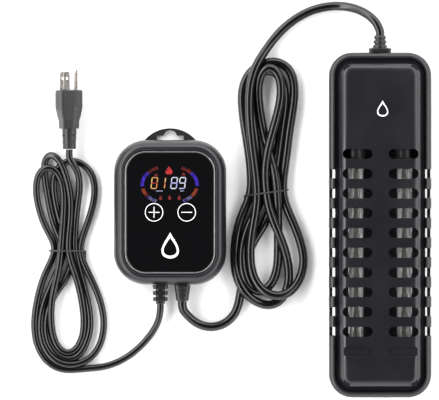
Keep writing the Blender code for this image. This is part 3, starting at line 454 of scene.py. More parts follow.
# ---------------------------------------------------------------- slotted guard, rear half
# A deep tray moulded in charcoal ABS with a fine spark-eroded grain: a rolled rim, slots down both sides,
# vents down the back, and keyholes for the four suction cups.
guard_at = (107.5, -8.5, 0.0)
guard_size = (102.0, 344.0, 23.0)
slot_rows = [70.8 - 19.65 * row for row in range(11)]
cup_x, cup_y = 26.0, 118.0
guard_screw_places = [(side * 33.0, end * 156.0) for end in (1, -1) for side in (-1, 1)]
along_y, against_y = Matrix.Rotation(-math.pi / 2, 3, "X"), Matrix.Rotation(math.pi / 2, 3, "X")


def outline(width, length, radius, steps=14):
    """A rectangle with round corners, anticlockwise."""
    points = []
    for quarter, (sx, sy) in enumerate([(1, 1), (-1, 1), (-1, -1), (1, -1)]):
        for step in range(steps + 1):
            turn = math.pi / 2 * (quarter + step / steps)
            points.append((
                sx * (width / 2 - radius) + radius * math.cos(turn),
                sy * (length / 2 - radius) + radius * math.sin(turn),
            ))
    return points


def eased(stops, ring=False, steps=5):
    """A profile through stops of (across, height, radius), with each corner rounded to its radius."""
    line = []
    for i, (across, height, radius) in enumerate(stops):
        corner = Vector((across, height))
        if radius == 0 or (not ring and i in (0, len(stops) - 1)):
            line.append(corner)
            continue
        back = (Vector(stops[i - 1][:2]) - corner).normalized()
        onward = (Vector(stops[(i + 1) % len(stops)][:2]) - corner).normalized()
        half = back.angle(onward) / 2
        middle = corner + (back + onward).normalized() * radius / math.sin(half)
        start = corner + back * radius / math.tan(half) - middle
        swing = math.copysign(math.pi - 2 * half, back.cross(start))
        for step in range(steps + 1):
            line.append(middle + Matrix.Rotation(swing * step / steps, 2) @ start)
    return line


def skin(rows, ring=False):
    """One closed surface through rows of points, filled at both ends unless they join in a ring."""
    count = len(rows[0])
    points = [point for row in rows for point in row]
    faces = []
    for low in range(len(rows) - (0 if ring else 1)):
        high = (low + 1) % len(rows)
        for i in range(count):
            k = (i + 1) % count
            faces.append((low * count + i, low * count + k, high * count + k, high * count + i))
    if not ring:
        faces += [tuple(range(count))[::-1], tuple(range(len(points) - count, len(points)))]
    return points, faces


def loft(sections, steps=14, ring=False):
    """A surface through round-cornered sections of (width, length, radius, height)."""
    return skin(
        [[(x, y, z) for x, y in outline(width, length, radius, steps)] for width, length, radius,
         z in sections],
        ring,
    )


def shell(size, stops, ring=False):
    """A surface whose wall follows the eased profile, as (inset, height, radius), round this outline."""
    width, length, corner = size
    return loft(
        [(width - 2 * a, length - 2 * a, max(corner - a, 1.0), z) for a, z in eased(stops, ring)], 14, ring
    )


def prism(points, low, high):
    return skin([[(x, y, z) for x, y in points] for z in (low, high)])


def block(size, middle):
    (width, length, height), (x, y, z) = size, middle
    corners = [(x + a * width / 2, y + b * length / 2) for a, b in ((-1, -1), (1, -1), (1, 1), (-1, 1))]
    return prism(corners, z - height / 2, z + height / 2)


def disc(radius, at=(0, 0), flats=40):
    turns = [2 * math.pi * i / flats for i in range(flats)]
    return [(at[0] + radius * math.cos(turn), at[1] + radius * math.sin(turn)) for turn in turns]


def sector(radius, at, start, end, steps):
    turns = [math.radians(start + (end - start) * i / steps) for i in range(steps + 1)]
    return [(at[0] + radius * math.cos(turn), at[1] + radius * math.sin(turn)) for turn in turns]


def spun(stops, ring=False, flats=56):
    """A surface turned about its Z axis, from an eased profile of (radius, height, rounding)."""
    line = [point for point in eased(stops, ring) if point.x > 0.001]
    return skin([[(x, y, height) for x, y in disc(radius, flats=flats)] for radius, height in line], ring)


def turned_to(surface, facing):
    points, faces = surface
    return [tuple(facing @ Vector(point)) for point in points], faces


def mesh_object(name, surface, finish=None, at=(0, 0, 0)):
    """A mesh of a surface in millimetres, moved to its place, smooth except over its sharp edges."""
    points, faces = surface
    data = bpy.data.meshes.new(name)
    data.from_pydata([tuple((Vector(point) + Vector(at)) * mm) for point in points], [], faces)
    shape = bmesh.new()
    shape.from_mesh(data)
    bmesh.ops.recalc_face_normals(shape, faces=shape.faces)
    shape.to_mesh(data)
    shape.free()
    data.shade_smooth()
    data.set_sharp_from_angle(angle=math.radians(36))
    return new_object(name, data, finish)


def together(surfaces):
    """Several separate surfaces as the points and faces of one mesh."""
    points, faces = [], []
    for more_points, more_faces in surfaces:
        faces += [tuple(i + len(points) for i in face) for face in more_faces]
        points += list(more_points)
    return points, faces


def worked(piece, surfaces, at=(0, 0, 0), way="DIFFERENCE"):
    """Cuts these surfaces out of the piece, or joins them to it. The piece has to stay one closed skin."""
    tools = [mesh_object("tool", surface, None, at) for surface in surfaces]
    group = bpy.data.collections.new("tools")
    for tool in tools:
        group.objects.link(tool)
    change = piece.modifiers.new("work", "BOOLEAN")
    change.operation, change.solver = way, "EXACT"
    change.operand_type, change.collection = "COLLECTION", group
    made = bpy.data.meshes.new_from_object(piece.evaluated_get(bpy.context.evaluated_depsgraph_get()))
    piece.modifiers.clear()
    piece.data = made
    for tool in tools:
        bpy.data.objects.remove(tool, do_unlink=True)
    bpy.data.collections.remove(group)
    shape = bmesh.new()
    shape.from_mesh(made)
    if not all(edge.is_manifold for edge in shape.edges):
        raise RuntimeError(piece.name + " isn't closed after its cuts")
    shape.free()
    made.shade_smooth()
    made.set_sharp_from_angle(angle=math.radians(36))
    return piece


def softened(piece, width, segments=2):
    """Takes the sharpness off the edges, as a mould does."""
    bevel = piece.modifiers.new("edges", "BEVEL")
    bevel.width, bevel.segments, bevel.limit_method = width * mm, segments, "ANGLE"
    bevel.angle_limit = math.radians(40)
    piece.modifiers.new("normals", "WEIGHTED_NORMAL").keep_sharp = True
    return piece


def stands(piece, slot, *cad_nodes, on=body):
    """The piece rides on its body and stands for these solids of the frame, which are hidden. slot is not
    used.
    """
    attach(piece, on)
    if cad_nodes:
        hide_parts(*cad_nodes)
    return piece


charcoal = moulded("satin_charcoal", (0.0065, 0.0065, 0.0085), (0.035, 0.035, 0.04), (0.28, 0.38), 1400,
                   0.12, 0.5)
rear_profile = [
    (9, 12.0, 0), (0, 12.0, 8.4), (0, 40.3, 5.2), (6.0, 40.3, 0.6), (6.0, 34.0, 0.2), (8.4, 34.0, 0.3),
    (8.4, 32.3, 0.3), (2.5, 31.2, 1.0), (2.5, 14.5, 6.4), (9.8, 14.5, 0),
]
guard_rear = mesh_object("guard_rear_shell", shell(guard_size, rear_profile), charcoal, guard_at)
key_neck, key_entry, key_drop = 3.6, 5.2, 9.0
gland_hole = [turned_to(prism(disc(6.3, (0, -27.0)), 160, 180), along_y)]
vents = [block((12, 10, 8), (0, y, 12)) for y in slot_rows[1:10]]
side_slots = [block((16, 9, 42), (side * 53.0, y, 39)) for side in (-1, 1) for y in slot_rows[1:10]]
floor_slots = [block((5.4, 9, 25), (side * 44.7, y, 17.5)) for side in (-1, 1) for y in slot_rows[1:10]]
screw_holes = [prism(disc(1.9, place, 20), 10, 16) for place in guard_screw_places]
screw_seats = [prism(disc(3.6, place, 32), 10, 13.3) for place in guard_screw_places]
keyholes = [
    prism(sector(key_entry, (x, y - key_drop), 134, 406, 28) + sector(key_neck, (x, y), 0, 180, 20), 10, 17)
    for x in (-cup_x, cup_x) for y in (-cup_y, cup_y)
]
for cuts in (gland_hole, vents, side_slots, floor_slots, screw_holes, screw_seats, keyholes):
    worked(guard_rear, cuts, guard_at)
stands(softened(guard_rear, 0.35), "satin_charcoal", "rear_guard")

# ---------------------------------------------------------------- slotted guard, front half
# The raised cover, in the same ABS: a soft wide edge, ten rows of open slots each side of a plain spine,
# and one row of blind pockets at the foot. Four screw posts stand inside it.
front_profile = [
    (20.5, 49.5, 0), (13.9, 49.5, 5.0), (13.9, 34.3, 0.2), (6.3, 34.3, 0.2), (6.3, 36.9, 0.35),
    (11.3, 36.9, 0.7), (11.3, 52.0, 6.8), (18.4, 52.0, 0),
]
guard_front = mesh_object("guard_front_cover", shell(guard_size, front_profile), charcoal, guard_at)
slot_inner, slot_outer, slot_height = 7.9, 37.8, 10.0
posts = [prism(disc(4, place), 15, 50.5) for place in guard_screw_places]
worked(guard_front, posts, guard_at, "UNION")
front_cuts = [prism(disc(1.5, place, 20), 10, 30) for place in guard_screw_places]
for row, y in enumerate(slot_rows):
    for side in (-1, 1):
        middle = side * (slot_inner + slot_outer) / 2
        slot = outline(slot_outer - slot_inner, slot_height, slot_height / 2 - 0.01, 10)
        low = 50.8 if row == 10 else 40
        front_cuts.append(prism([(middle + px, y + py) for px, py in slot], low, 60))
worked(guard_front, front_cuts, guard_at)
stands(softened(guard_front, 0.45), "satin_charcoal", "front_guard")

# ---------------------------------------------------------------- guard screws
# Stainless pan-head self-tappers with a cross recess, one in each corner of the back, driven into the posts
# of the front half.
brush_group, brush_in, brush_out = node_group(
    "brushed_metal", {"Size": ("Float", 300.0), "Stretch": ("Vector", (1.0, 1.0, 8.0))},
    {"Height": ("Float", None), "Streaks": ("Float", None)},
)
brush_place = brush_group.nodes.new("ShaderNodeTexCoord")
brush_stretch = brush_group.nodes.new("ShaderNodeVectorMath")
brush_stretch.operation = "MULTIPLY"
brush_noise = brush_group.nodes.new("ShaderNodeTexNoise")
brush_group.links.new(brush_place.outputs["Object"], brush_stretch.inputs[0])
brush_group.links.new(brush_in.outputs["Stretch"], brush_stretch.inputs[1])
brush_group.links.new(brush_stretch.outputs["Vector"], brush_noise.inputs["Vector"])
brush_group.links.new(brush_in.outputs["Size"], brush_noise.inputs["Scale"])
brush_group.links.new(brush_noise.outputs["Fac"], brush_out.inputs["Height"])
brush_group.links.new(brush_noise.outputs["Fac"], brush_out.inputs["Streaks"])


def brushed(name, colour, gloss, size=300.0, stretch=(1, 1, 8), depth=0.1, tarnish=0.8, **values):
    """A worked metal: fine streaks along one way change its gloss and its shade."""
    made, tree, links, shader = material(name, metallic=1.0, **values)
    streaks, bump, range_of, shade = (tree.new(kind) for kind in (
        "ShaderNodeGroup", "ShaderNodeBump", "ShaderNodeMapRange", "ShaderNodeMix",
    ))
    streaks.node_tree = brush_group
    streaks.inputs["Size"].default_value, streaks.inputs["Stretch"].default_value = size, stretch
    shade.data_type = "RGBA"
    shade.inputs["A"].default_value = (*(channel * tarnish for channel in colour), 1)
    shade.inputs["B"].default_value = (*colour, 1)
    bump.inputs["Strength"].default_value, bump.inputs["Distance"].default_value = depth, 0.0002
    range_of.inputs["To Min"].default_value, range_of.inputs["To Max"].default_value = gloss
    links.new(streaks.outputs["Streaks"], range_of.inputs["Value"])
    links.new(streaks.outputs["Streaks"], shade.inputs["Factor"])
    links.new(streaks.outputs["Height"], bump.inputs["Height"])
    links.new(shade.outputs["Result"], shader.inputs["Base Color"])
    links.new(range_of.outputs["Result"], shader.inputs["Roughness"])
    links.new(bump.outputs["Normal"], shader.inputs["Normal"])
    return made


def plus_sign(reach, arm):
    quarter = [(reach, arm), (arm, arm), (arm, reach), (-arm, reach), (-arm, arm), (-reach, arm)]
    return quarter + [(-x, -y) for x, y in quarter]


def cross_screw(name, head_radius, shank_radius, length, head, top, at, finish):
    """A pan-head screw pointing up, its head below, with a cross recess and a thread."""
    stops = [
        (0, top, 0), (shank_radius * 0.5, top, 0), (shank_radius, top - 1.6, 0.2),
        (shank_radius, top - length + head, 0.2), (head_radius, top - length + head, 0.2),
        (head_radius, top - length, 0.8), (0, top - length, 0),
    ]
    made = mesh_object(name, spun(stops, flats=40), finish, at)
    low, reach, arm = top - length, head_radius * 0.62, head_radius * 0.16
    worked(made, [prism(plus_sign(reach, arm), low - 1, low + 0.9)], at)
    pitch, flats = 1.1, 16
    turns = int((length - head - 2.2) / pitch * flats)
    thread = [
        (at[0] + shank_radius * math.cos(2 * math.pi * i / flats),
         at[1] + shank_radius * math.sin(2 * math.pi * i / flats),
         at[2] + low + head + 0.4 + pitch * i / flats)
        for i in range(turns)
    ]
    return made, cord_object(name + "_thread", np.array(thread), 0.5, finish, 1)


steel = brushed("stainless_steel", (0.62, 0.62, 0.61), (0.22, 0.4), 700, (1, 1, 1), 0.1)
for number, place in enumerate(guard_screw_places, 1):
    at = (guard_at[0] + place[0], guard_at[1] + place[1], 0)
    for piece in cross_screw(f"guard_screw_head_{number}", 3.2, 1.3, 15.7, 1.15, 27.9, at, steel):
        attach(piece, body)
    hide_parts(f"guard_screw_{number}")

# ---------------------------------------------------------------- suction cups
# Four soft black rubber cups. Each button is pushed through a keyhole in the back and slides up into its
# narrow end, where it turns freely. A lift tab on the rim breaks the seal.
rubber = moulded("black_rubber", (0.008, 0.008, 0.0085), (0.03, 0.03, 0.03), (0.36, 0.5), 600, 0.25, 0.5)
cup_profile = [
    (0, 17.4, 0), (4.2, 17.4, 0.5), (4.7, 16.3, 0.4), (3.2, 15.3, 0.4), (3.2, 11.7, 0.3), (6.6, 11.7, 0.8),
    (7.6, 8.9, 1.5), (11.5, 5.6, 4), (15.8, 1.9, 4), (17.0, 0.05, 0.25), (14.8, 0.05, 0.3), (8, 3, 5),
    (0, 4.2, 0),
]
for side, x in (("left", -cup_x), ("right", cup_x)):
    for end, y in (("top", cup_y), ("bottom", -cup_y)):
        at = (guard_at[0] + x, guard_at[1] + y, 0)
        cup = mesh_object(f"cup_{end}_{side}_rubber", spun(cup_profile, flats=64), rubber, at)
        tab = prism([(px, 18.1 + py) for px, py in outline(5.2, 5.8, 2.2, 8)], 0.1, 1.4)
        worked(cup, [tab], at, "UNION")
        stands(softened(cup, 0.2), "black_rubber", f"suction_cup_{end}_{side}", on=f"cup_{end}_{side}")

# ---------------------------------------------------------------- heating tubes
# Two quartz tubes, closed to a dome at the foot. In each a white ceramic core carries a coil of nichrome wire
# in an open channel that faces the front. A rubber seal holds the head end and a rubber cap the foot.
tube_x, tube_z = 24.0, 33.0
quartz, quartz_tree, quartz_links, quartz_shader = material(
    "quartz_glass", base_color=(1.0, 1.0, 1.0), roughness=0.02, transmission_weight=1.0, ior=1.46,
)
quartz_grain = quartz_tree.new("ShaderNodeGroup")
quartz_grain.node_tree = grain_group
quartz_grain.inputs["Size"].default_value = 60
quartz_bump = quartz_tree.new("ShaderNodeBump")
quartz_bump.inputs["Strength"].default_value, quartz_bump.inputs["Distance"].default_value = 0.15, 0.0003
quartz_see, quartz_clear, quartz_ray = (quartz_tree.new(kind) for kind in (
    "ShaderNodeMixShader", "ShaderNodeBsdfTransparent", "ShaderNodeLightPath",
))
quartz_clear.inputs["Color"].default_value = (0.98, 0.99, 1.0, 1)
quartz_links.new(quartz_grain.outputs["Height"], quartz_bump.inputs["Height"])
quartz_links.new(quartz_bump.outputs["Normal"], quartz_shader.inputs["Normal"])
quartz_links.new(quartz_ray.outputs["Is Shadow Ray"], quartz_see.inputs["Fac"])
quartz_links.new(quartz_shader.outputs["BSDF"], quartz_see.inputs[1])
quartz_links.new(quartz_clear.outputs["BSDF"], quartz_see.inputs[2])
quartz_links.new(quartz_see.outputs["Shader"], quartz_tree["Material Output"].inputs["Surface"])
ceramic = moulded("white_ceramic", (0.95, 0.94, 0.92), (0.9, 0.9, 0.88), (0.45, 0.65), 800, 0.3, 0.3)
nichrome = brushed("nichrome_wire", (0.42, 0.4, 0.38), (0.35, 0.55), 900, (1, 1, 1), 0.2, 0.55)
quartz_profile = [
    (0, -132.9, 0), (7.2, -132.9, 6.2), (7.2, 80, 0.3), (8, 80, 0.3), (8, -134.0, 7.0), (0, -134.0, 0),
]
seal_profile = [
    (8.2, 80.4, 0.2), (5.5, 80.4, 0.3), (5.5, 86, 0.3), (9.9, 86, 1.1), (9.9, 66, 0.9), (8.2, 66, 0.2),
]
foot_profile = [
    (0, -134.4, 0), (8.2, -134.4, 0.2), (8.2, -122, 0.3), (9.6, -122, 0.7), (9.6, -137.2, 1.2),
    (0, -137.2, 0),
]
core_radius, half_channel = 6.9, 3.6
channel_edge = math.degrees(math.asin(half_channel / core_radius))
core_outline = sector(core_radius, (0, 0), channel_edge - 90, 270 - channel_edge, 60)
core_outline += [(-half_channel, 1.0), (half_channel, 1.0)]
coil_radius, coil_pitch, coil_wire, coil_flats = 3.0, 1.15, 0.62, 14
coil_turns = int(200 / coil_pitch)
for side, x in (("left", -tube_x), ("right", tube_x)):
    at = (guard_at[0] + x, guard_at[1], tube_z)
    glass = mesh_object(f"quartz_sleeve_{side}", turned_to(spun(quartz_profile), along_y), quartz, at)
    stands(glass, "quartz", f"quartz_tube_{side}")
    seal = mesh_object(f"seal_ring_{side}", turned_to(spun(seal_profile, ring=True), along_y), rubber, at)
    stands(seal, "black_rubber", f"tube_seal_{side}")
    foot = mesh_object(f"foot_cap_{side}", turned_to(spun(foot_profile), along_y), rubber, at)
    stands(foot, "black_rubber", f"tube_foot_{side}")
    core = mesh_object(f"ceramic_holder_{side}", turned_to(prism(core_outline, -128, 78), along_y), ceramic,
                       at)
    stands(softened(core, 0.25), "white_ceramic", f"ceramic_core_{side}")
    helix = np.array([
        (at[0] + coil_radius * math.cos(2 * math.pi * i / coil_flats),
         at[1] - 126 + coil_pitch * i / coil_flats,
         35.5 + coil_radius * math.sin(2 * math.pi * i / coil_flats))
        for i in range(coil_turns * coil_flats)
    ])
    stands(cord_object(f"coil_wire_{side}", helix, coil_wire, nichrome, 1), "nichrome",
           f"heating_coil_{side}")

# ---------------------------------------------------------------- water probe, lead sleeves and inner parts
# A stainless probe pokes out of the head between the tubes. Inside the head a cut-out stops the tubes running
# dry, and glass-sleeved leads join the coils to it. A plate holds both tube feet off the guard.
probe_profile = [(0, 84, 0), (2.5, 84, 0), (2.5, 44, 1.6), (0, 44, 0)]
probe = mesh_object(
    "probe_tip", turned_to(spun(probe_profile, flats=40), along_y), steel, (guard_at[0], guard_at[1], tube_z)
)
stands(probe, "steel", "temperature_probe")
black = moulded("black_plastic", (0.007, 0.007, 0.0075), (0.04, 0.04, 0.04), (0.36, 0.5), 1000, 0.2, 0.6)
sleeving = moulded("glass_sleeving", (0.62, 0.6, 0.54), (0.7, 0.68, 0.62), (0.7, 0.85), 2200, 0.9, 0.3)
for name, finish in (
    ("sealed_head", black), ("head_lid", black), ("tube_bracket", black), ("thermal_cutout", steel),
    ("coil_lead_left", sleeving), ("coil_lead_right", sleeving),
):
    nodes[name].material_slots[0].material = finish

# ---------------------------------------------------------------- cord gland and boot
# A moulded flange over the cord's way into the guard, held by two small screws, and a ringed rubber boot.
gland_at = (guard_at[0], guard_at[1], 27.0)
flange = mesh_object(
    "gland_flange",
    turned_to(loft([(22, 13.4, 3, 172.3), (22, 13.4, 3, 176.5)], 8), along_y), black, gland_at,
)
worked(flange, [turned_to(prism(disc(6.0), 150.4, 173.5), along_y)], gland_at, "UNION")
stands(softened(flange, 0.4), "black_plastic", "cord_gland")
boot_profile = [
    (0, 189.25, 0), (5.4, 189.25, 0.5), (6.0, 187.2, 0.6), (6.0, 186.2, 0.3), (5.1, 185.9, 0.3),
    (5.1, 184.5, 0.3),
    (6.5, 184.1, 0.4), (6.5, 181.7, 0.4), (5.5, 181.3, 0.3), (5.5, 179.9, 0.3), (7.0, 179.5, 0.4),
    (7.0, 176.8, 0.2),
    (0, 176.8, 0),
]
boot = mesh_object("boot_rubber", turned_to(spun(boot_profile), along_y), rubber, gland_at)
stands(boot, "black_rubber", "cord_boot")
gland_screws = together(
    ([(side * 8.8 + px, py, pz) for px, py, pz in points], faces)
    for side in (-1, 1)
    for points, faces in [spun([(0, 176.4, 0), (1.5, 176.4, 0), (1.5, 177.5, 0.5), (0, 177.5, 0)], flats=24)]
)
gland_screw_heads = mesh_object("gland_screw_heads", turned_to(gland_screws, along_y), steel, gland_at)
stands(gland_screw_heads, "steel")

# ---------------------------------------------------------------- controller, front shell
# The upper half of the controller, moulded in the same satin ABS: a domed bezel, a groove, a ledge for the
# glass, and four posts inside for the screws.
box_at, box_size = (-102.25, 4.2, 0), (112.5, 144.5, 32)
box_screw_places = [(side * 38.0, end * 54.0) for end in (1, -1) for side in (-1, 1)]
exit_height = 12.5
dome_turns = [math.pi / 2 * step / 16 for step in range(17)]
dome = [(8.8 - 8.8 * math.cos(turn), 14 + 15.9 * math.sin(turn), 0) for turn in dome_turns]
bezel_profile = [
    (0.5, 7.0, 0.1), (0, 7.6, 0), *dome, (9.9, 29.9, 0.8), (9.9, 25.6, 0.2), (16.5, 25.6, 0.2),
    (16.5, 23.4, 0.3),
    (8.4, 23.4, 4), (2.5, 15.5, 3), (2.5, 7.0, 0.2),
]
bezel = mesh_object("controller_bezel", shell(box_size, bezel_profile, ring=True), charcoal, box_at)
worked(bezel, [prism(disc(3.5, place), 3.2, 24.5) for place in box_screw_places], box_at, "UNION")
worked(bezel, [prism(disc(1.3, place, 20), 2, 18) for place in box_screw_places], box_at)
worked(bezel, [turned_to(prism(disc(4.6, (x, exit_height)), 60, 80), against_y) for x in (-9.75, 12.25)],
       box_at)
stands(softened(bezel, 0.25), "satin_charcoal", "controller_front")

# ---------------------------------------------------------------- controller, back shell and gasket
# The shallow back half in plain black ABS. A half-round hanging tab with a keyhole slot is moulded on its top
# edge, and a rubber gasket lies between the halves.
back_profile = [
    (6, 0, 0), (0.5, 0, 3.4), (0.5, 6.6, 0.3), (2.9, 6.6, 0.3), (2.9, 2.6, 1.4), (7, 2.6, 0),
]
tab_reach = math.degrees(math.acos((70.2 - 50.6) / 33.6))
eye_start = math.degrees(math.asin((76.8 - 75.45) / 6.8))
hang_slot = [(13.5, 72.4), (13.5, 76.8), *sector(6.8, (0, 75.45), eye_start, 180 - eye_start, 24)]
hang_slot += [(-13.5, 76.8), (-13.5, 72.4)]
back = mesh_object("controller_back_shell", shell(box_size, back_profile), black, box_at)
worked(back, [prism(sector(33.6, (0, 50.6), 90 - tab_reach, 90 + tab_reach, 48), 0.8, 3.6)], box_at, "UNION")
worked(back, [prism(hang_slot, -2, 8)], box_at)
worked(back, [prism(disc(1.8, place, 24), -1, 4) for place in box_screw_places], box_at)
worked(back, [prism(disc(3.2, place, 32), -1, 1.4) for place in box_screw_places], box_at)
stands(softened(back, 0.3), "black_plastic", "controller_back")
gasket_profile = [(3.3, 4.0, 0.4), (3.3, 7.7, 0.4), (4.7, 7.7, 0.4), (4.7, 4.0, 0.4)]
gasket = mesh_object("gasket_ring", shell(box_size, gasket_profile, ring=True), rubber, box_at)
stands(gasket, "black_rubber", "casing_gasket")
for number, place in enumerate(box_screw_places, 1):
    at = (box_at[0] + place[0], box_at[1] + place[1], 0)
    for piece in cross_screw(f"box_screw_head_{number}", 2.8, 1.05, 16.3, 1.1, 16.5, at, steel):
        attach(piece, body)
    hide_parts(f"controller_screw_{number}")

# ---------------------------------------------------------------- touch glass and trim
# A sheet of black-backed glass with a polished edge, in a thin bright metal frame.
glass_top = 28.6
glass = moulded(
    "black_glass", (0.0022, 0.0022, 0.0026), (0.01, 0.01, 0.012), (0.05, 0.09), 90, 0.02, 0.3, 12,
    coat_weight=0.5, coat_roughness=0.03,
)
panel_profile = [(20, 25.9, 0), (12.4, 25.9, 0.3), (12.4, glass_top, 0.7), (20, glass_top, 0)]
panel = mesh_object("touch_glass", shell(box_size, panel_profile), glass, box_at)
stands(panel, "black_glass", "touch_panel")
bright = brushed("satin_aluminium", (0.42, 0.42, 0.43), (0.24, 0.38), 500, (1, 1, 1), 0.08)
trim_profile = [(11.1, 25.9, 0.1), (11.1, 28.9, 0.45), (12.2, 28.9, 0.4), (12.2, 25.9, 0.1)]
trim = mesh_object("trim_frame", shell(box_size, trim_profile, ring=True), bright, box_at)
stands(trim, "satin_trim", "panel_trim")

# ---------------------------------------------------------------- printing on the glass and the guard
# White screen printing: a ring round each touch key with its plus or minus, and a plain water drop on the
# glass and on the guard's front.
print_rise = 0.05
print_middle = glass_top + print_rise / 2
white_print = moulded("white_print", (0.82, 0.82, 0.82), (0.9, 0.9, 0.9), (0.4, 0.55), 2500, 0.15, 0.4)


def band(outer, inner, low, rise=print_rise):
    """A flat band between two closed lines."""
    rows = [(outer, low), (outer, low + rise), (inner, low + rise), (inner, low)]
    return skin([[(x, y, z) for x, y in line] for line, z in rows], ring=True)


def water_drop(width, height, at, steps=64):
    turns = [2 * math.pi * step / steps for step in range(steps)]
    return [
        (at[0] + 0.65 * width * math.sin(turn) * math.sin(turn / 2) ** 1.5,
         at[1] + height / 2 * math.cos(turn))
        for turn in turns
    ]


def stroke(start, end, width, low):
    """A flat bar between two points, with pointed ends."""
    start, end = Vector(start), Vector(end)
    along = (end - start).normalized() * width / 2
    side = Vector((-along.y, along.x))
    corners = [start, start + along - side, end - along - side, end, end - along + side, start + along + side]
    return prism([tuple(corner) for corner in corners], low, low + print_rise)


keys = {"plus": (-15.95, 0), "minus": (16.7, 0)}
for name, (x, y) in keys.items():
    marks = [
        band(disc(9.15, (x, y), 72), disc(8.45, (x, y), 72), glass_top),
        block((10.9, 0.7, print_rise), (x, y, print_middle)),
    ]
    if name == "plus":
        marks += [block((0.7, 5.1, print_rise), (x, y + end * 2.9, print_middle)) for end in (-1, 1)]
    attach(mesh_object(f"touch_key_{name}", together(marks), white_print, box_at), body)
for name, at, low, (x, y), width, height, line in (
    ("glass_drop", box_at, glass_top, (0.2, -33), 19, 26, 2.2),
    ("guard_drop", guard_at, 52.0, (2, 116), 12, 16, 1.2),
):
    outer = water_drop(width, height, (x, y))
    inner = water_drop(width - 2 * line, height - 3.4 * line, (x, y - 0.5 * line))
    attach(mesh_object(name, band(outer, inner, low), white_print, at), body)

# ---------------------------------------------------------------- lit display
# The lamps of the display shine through clear windows in the glass: four leaning figures, a ring of ticks,
# and small symbols. Each is a thin lit shape on the glass, its glow varying in small patches between a bright
# and a dim colour.
glow_group, glow_in, glow_out = node_group(
    "lamp_glow", {"Colour": ("Color", (1, 1, 1, 1)), "Dim Colour": ("Color", (0.5, 0.5, 0.5, 1))},
    {"Colour": ("Color", None)},
)
glow_place, glow_noise, glow_range, glow_mix = (glow_group.nodes.new(kind) for kind in (
    "ShaderNodeTexCoord", "ShaderNodeTexNoise", "ShaderNodeMapRange", "ShaderNodeMix",
))
glow_noise.inputs["Scale"].default_value, glow_noise.inputs["Detail"].default_value = 260, 1
glow_range.inputs["From Min"].default_value, glow_range.inputs["From Max"].default_value = 0.35, 0.6
glow_mix.data_type = "RGBA"
glow_group.links.new(glow_place.outputs["Object"], glow_noise.inputs["Vector"])
glow_group.links.new(glow_noise.outputs["Fac"], glow_range.inputs["Value"])
glow_group.links.new(glow_range.outputs["Result"], glow_mix.inputs["Factor"])
glow_group.links.new(glow_in.outputs["Dim Colour"], glow_mix.inputs["A"])
glow_group.links.new(glow_in.outputs["Colour"], glow_mix.inputs["B"])
glow_group.links.new(glow_mix.outputs["Result"], glow_out.inputs["Colour"])


def lit(name, colour, dim, strength):
    made, tree, links, shader = material(name, base_color=(0.01, 0.01, 0.01), roughness=0.25)
    glow = tree.new("ShaderNodeGroup")
    glow.node_tree = glow_group
    glow.inputs["Colour"].default_value, glow.inputs["Dim Colour"].default_value = (*colour, 1), (*dim, 1)
    links.new(glow.outputs["Colour"], shader.inputs["Emission Color"])
    shader.inputs["Emission Strength"].default_value = strength
    return made


amber = lit("lamp_amber", (1.0, 0.66, 0.22), (0.9, 0.2, 0.05), 0.85)
cold_white = lit("lamp_cold_white", (0.9, 0.9, 1.0), (0.5, 0.52, 1.0), 0.95)
lamp_red = lit("lamp_red", (0.8, 0.03, 0.03), (0.35, 0.01, 0.01), 0.9)
dim_red = lit("lamp_dim_red", (0.4, 0.02, 0.02), (0.12, 0.005, 0.005), 0.8)
lamp_blue = lit("lamp_blue", (0.09, 0.03, 0.95), (0.03, 0.01, 0.4), 1.0)
lamp_violet = lit("lamp_violet", (0.5, 0.45, 0.9), (0.05, 0.03, 0.4), 0.7)
lamp_orange = lit("lamp_orange", (0.55, 0.07, 0.01), (0.2, 0.01, 0.01), 0.9)


def figure(left, right, low, high, bars, width=1.05, lean=0.125):
    """A seven-bar figure. The bars are a at the top, then clockwise to f, and g across the middle."""
    middle = (low + high) / 2
    ends = {
        "a": ((left, high), (right, high)), "b": ((right, high), (right, middle)),
        "c": ((right, middle), (right, low)),
        "d": ((left, low), (right, low)), "e": ((left, middle), (left, low)),
        "f": ((left, high), (left, middle)),
        "g": ((left, middle), (right, middle)),
    }
    made = []
    for bar in bars:
        start, end = (Vector((x + lean * (y - middle), y)) for x, y in ends[bar])
        trim_by = (end - start).normalized() * 0.16
        made.append(stroke(start + trim_by, end - trim_by, width, glass_top))
    return made


def ticks(start, end, spacing=4.5):
    """Short bars round an oval dial, and the same mirrored on its other side."""
    made = []
    count = round((end - start) / spacing)
    for mirror in (1, -1):
        for step in range(count + 1):
            turn = math.radians(start + (end - start) * step / count)
            across, up = mirror * math.cos(turn), math.sin(turn)
            made.append(stroke(
                (-0.3 + 25.6 * across, 27.5 + 17.1 * up), (-0.3 + 29.4 * across, 27.5 + 20.7 * up), 0.85,
                glass_top,
            ))
    return made


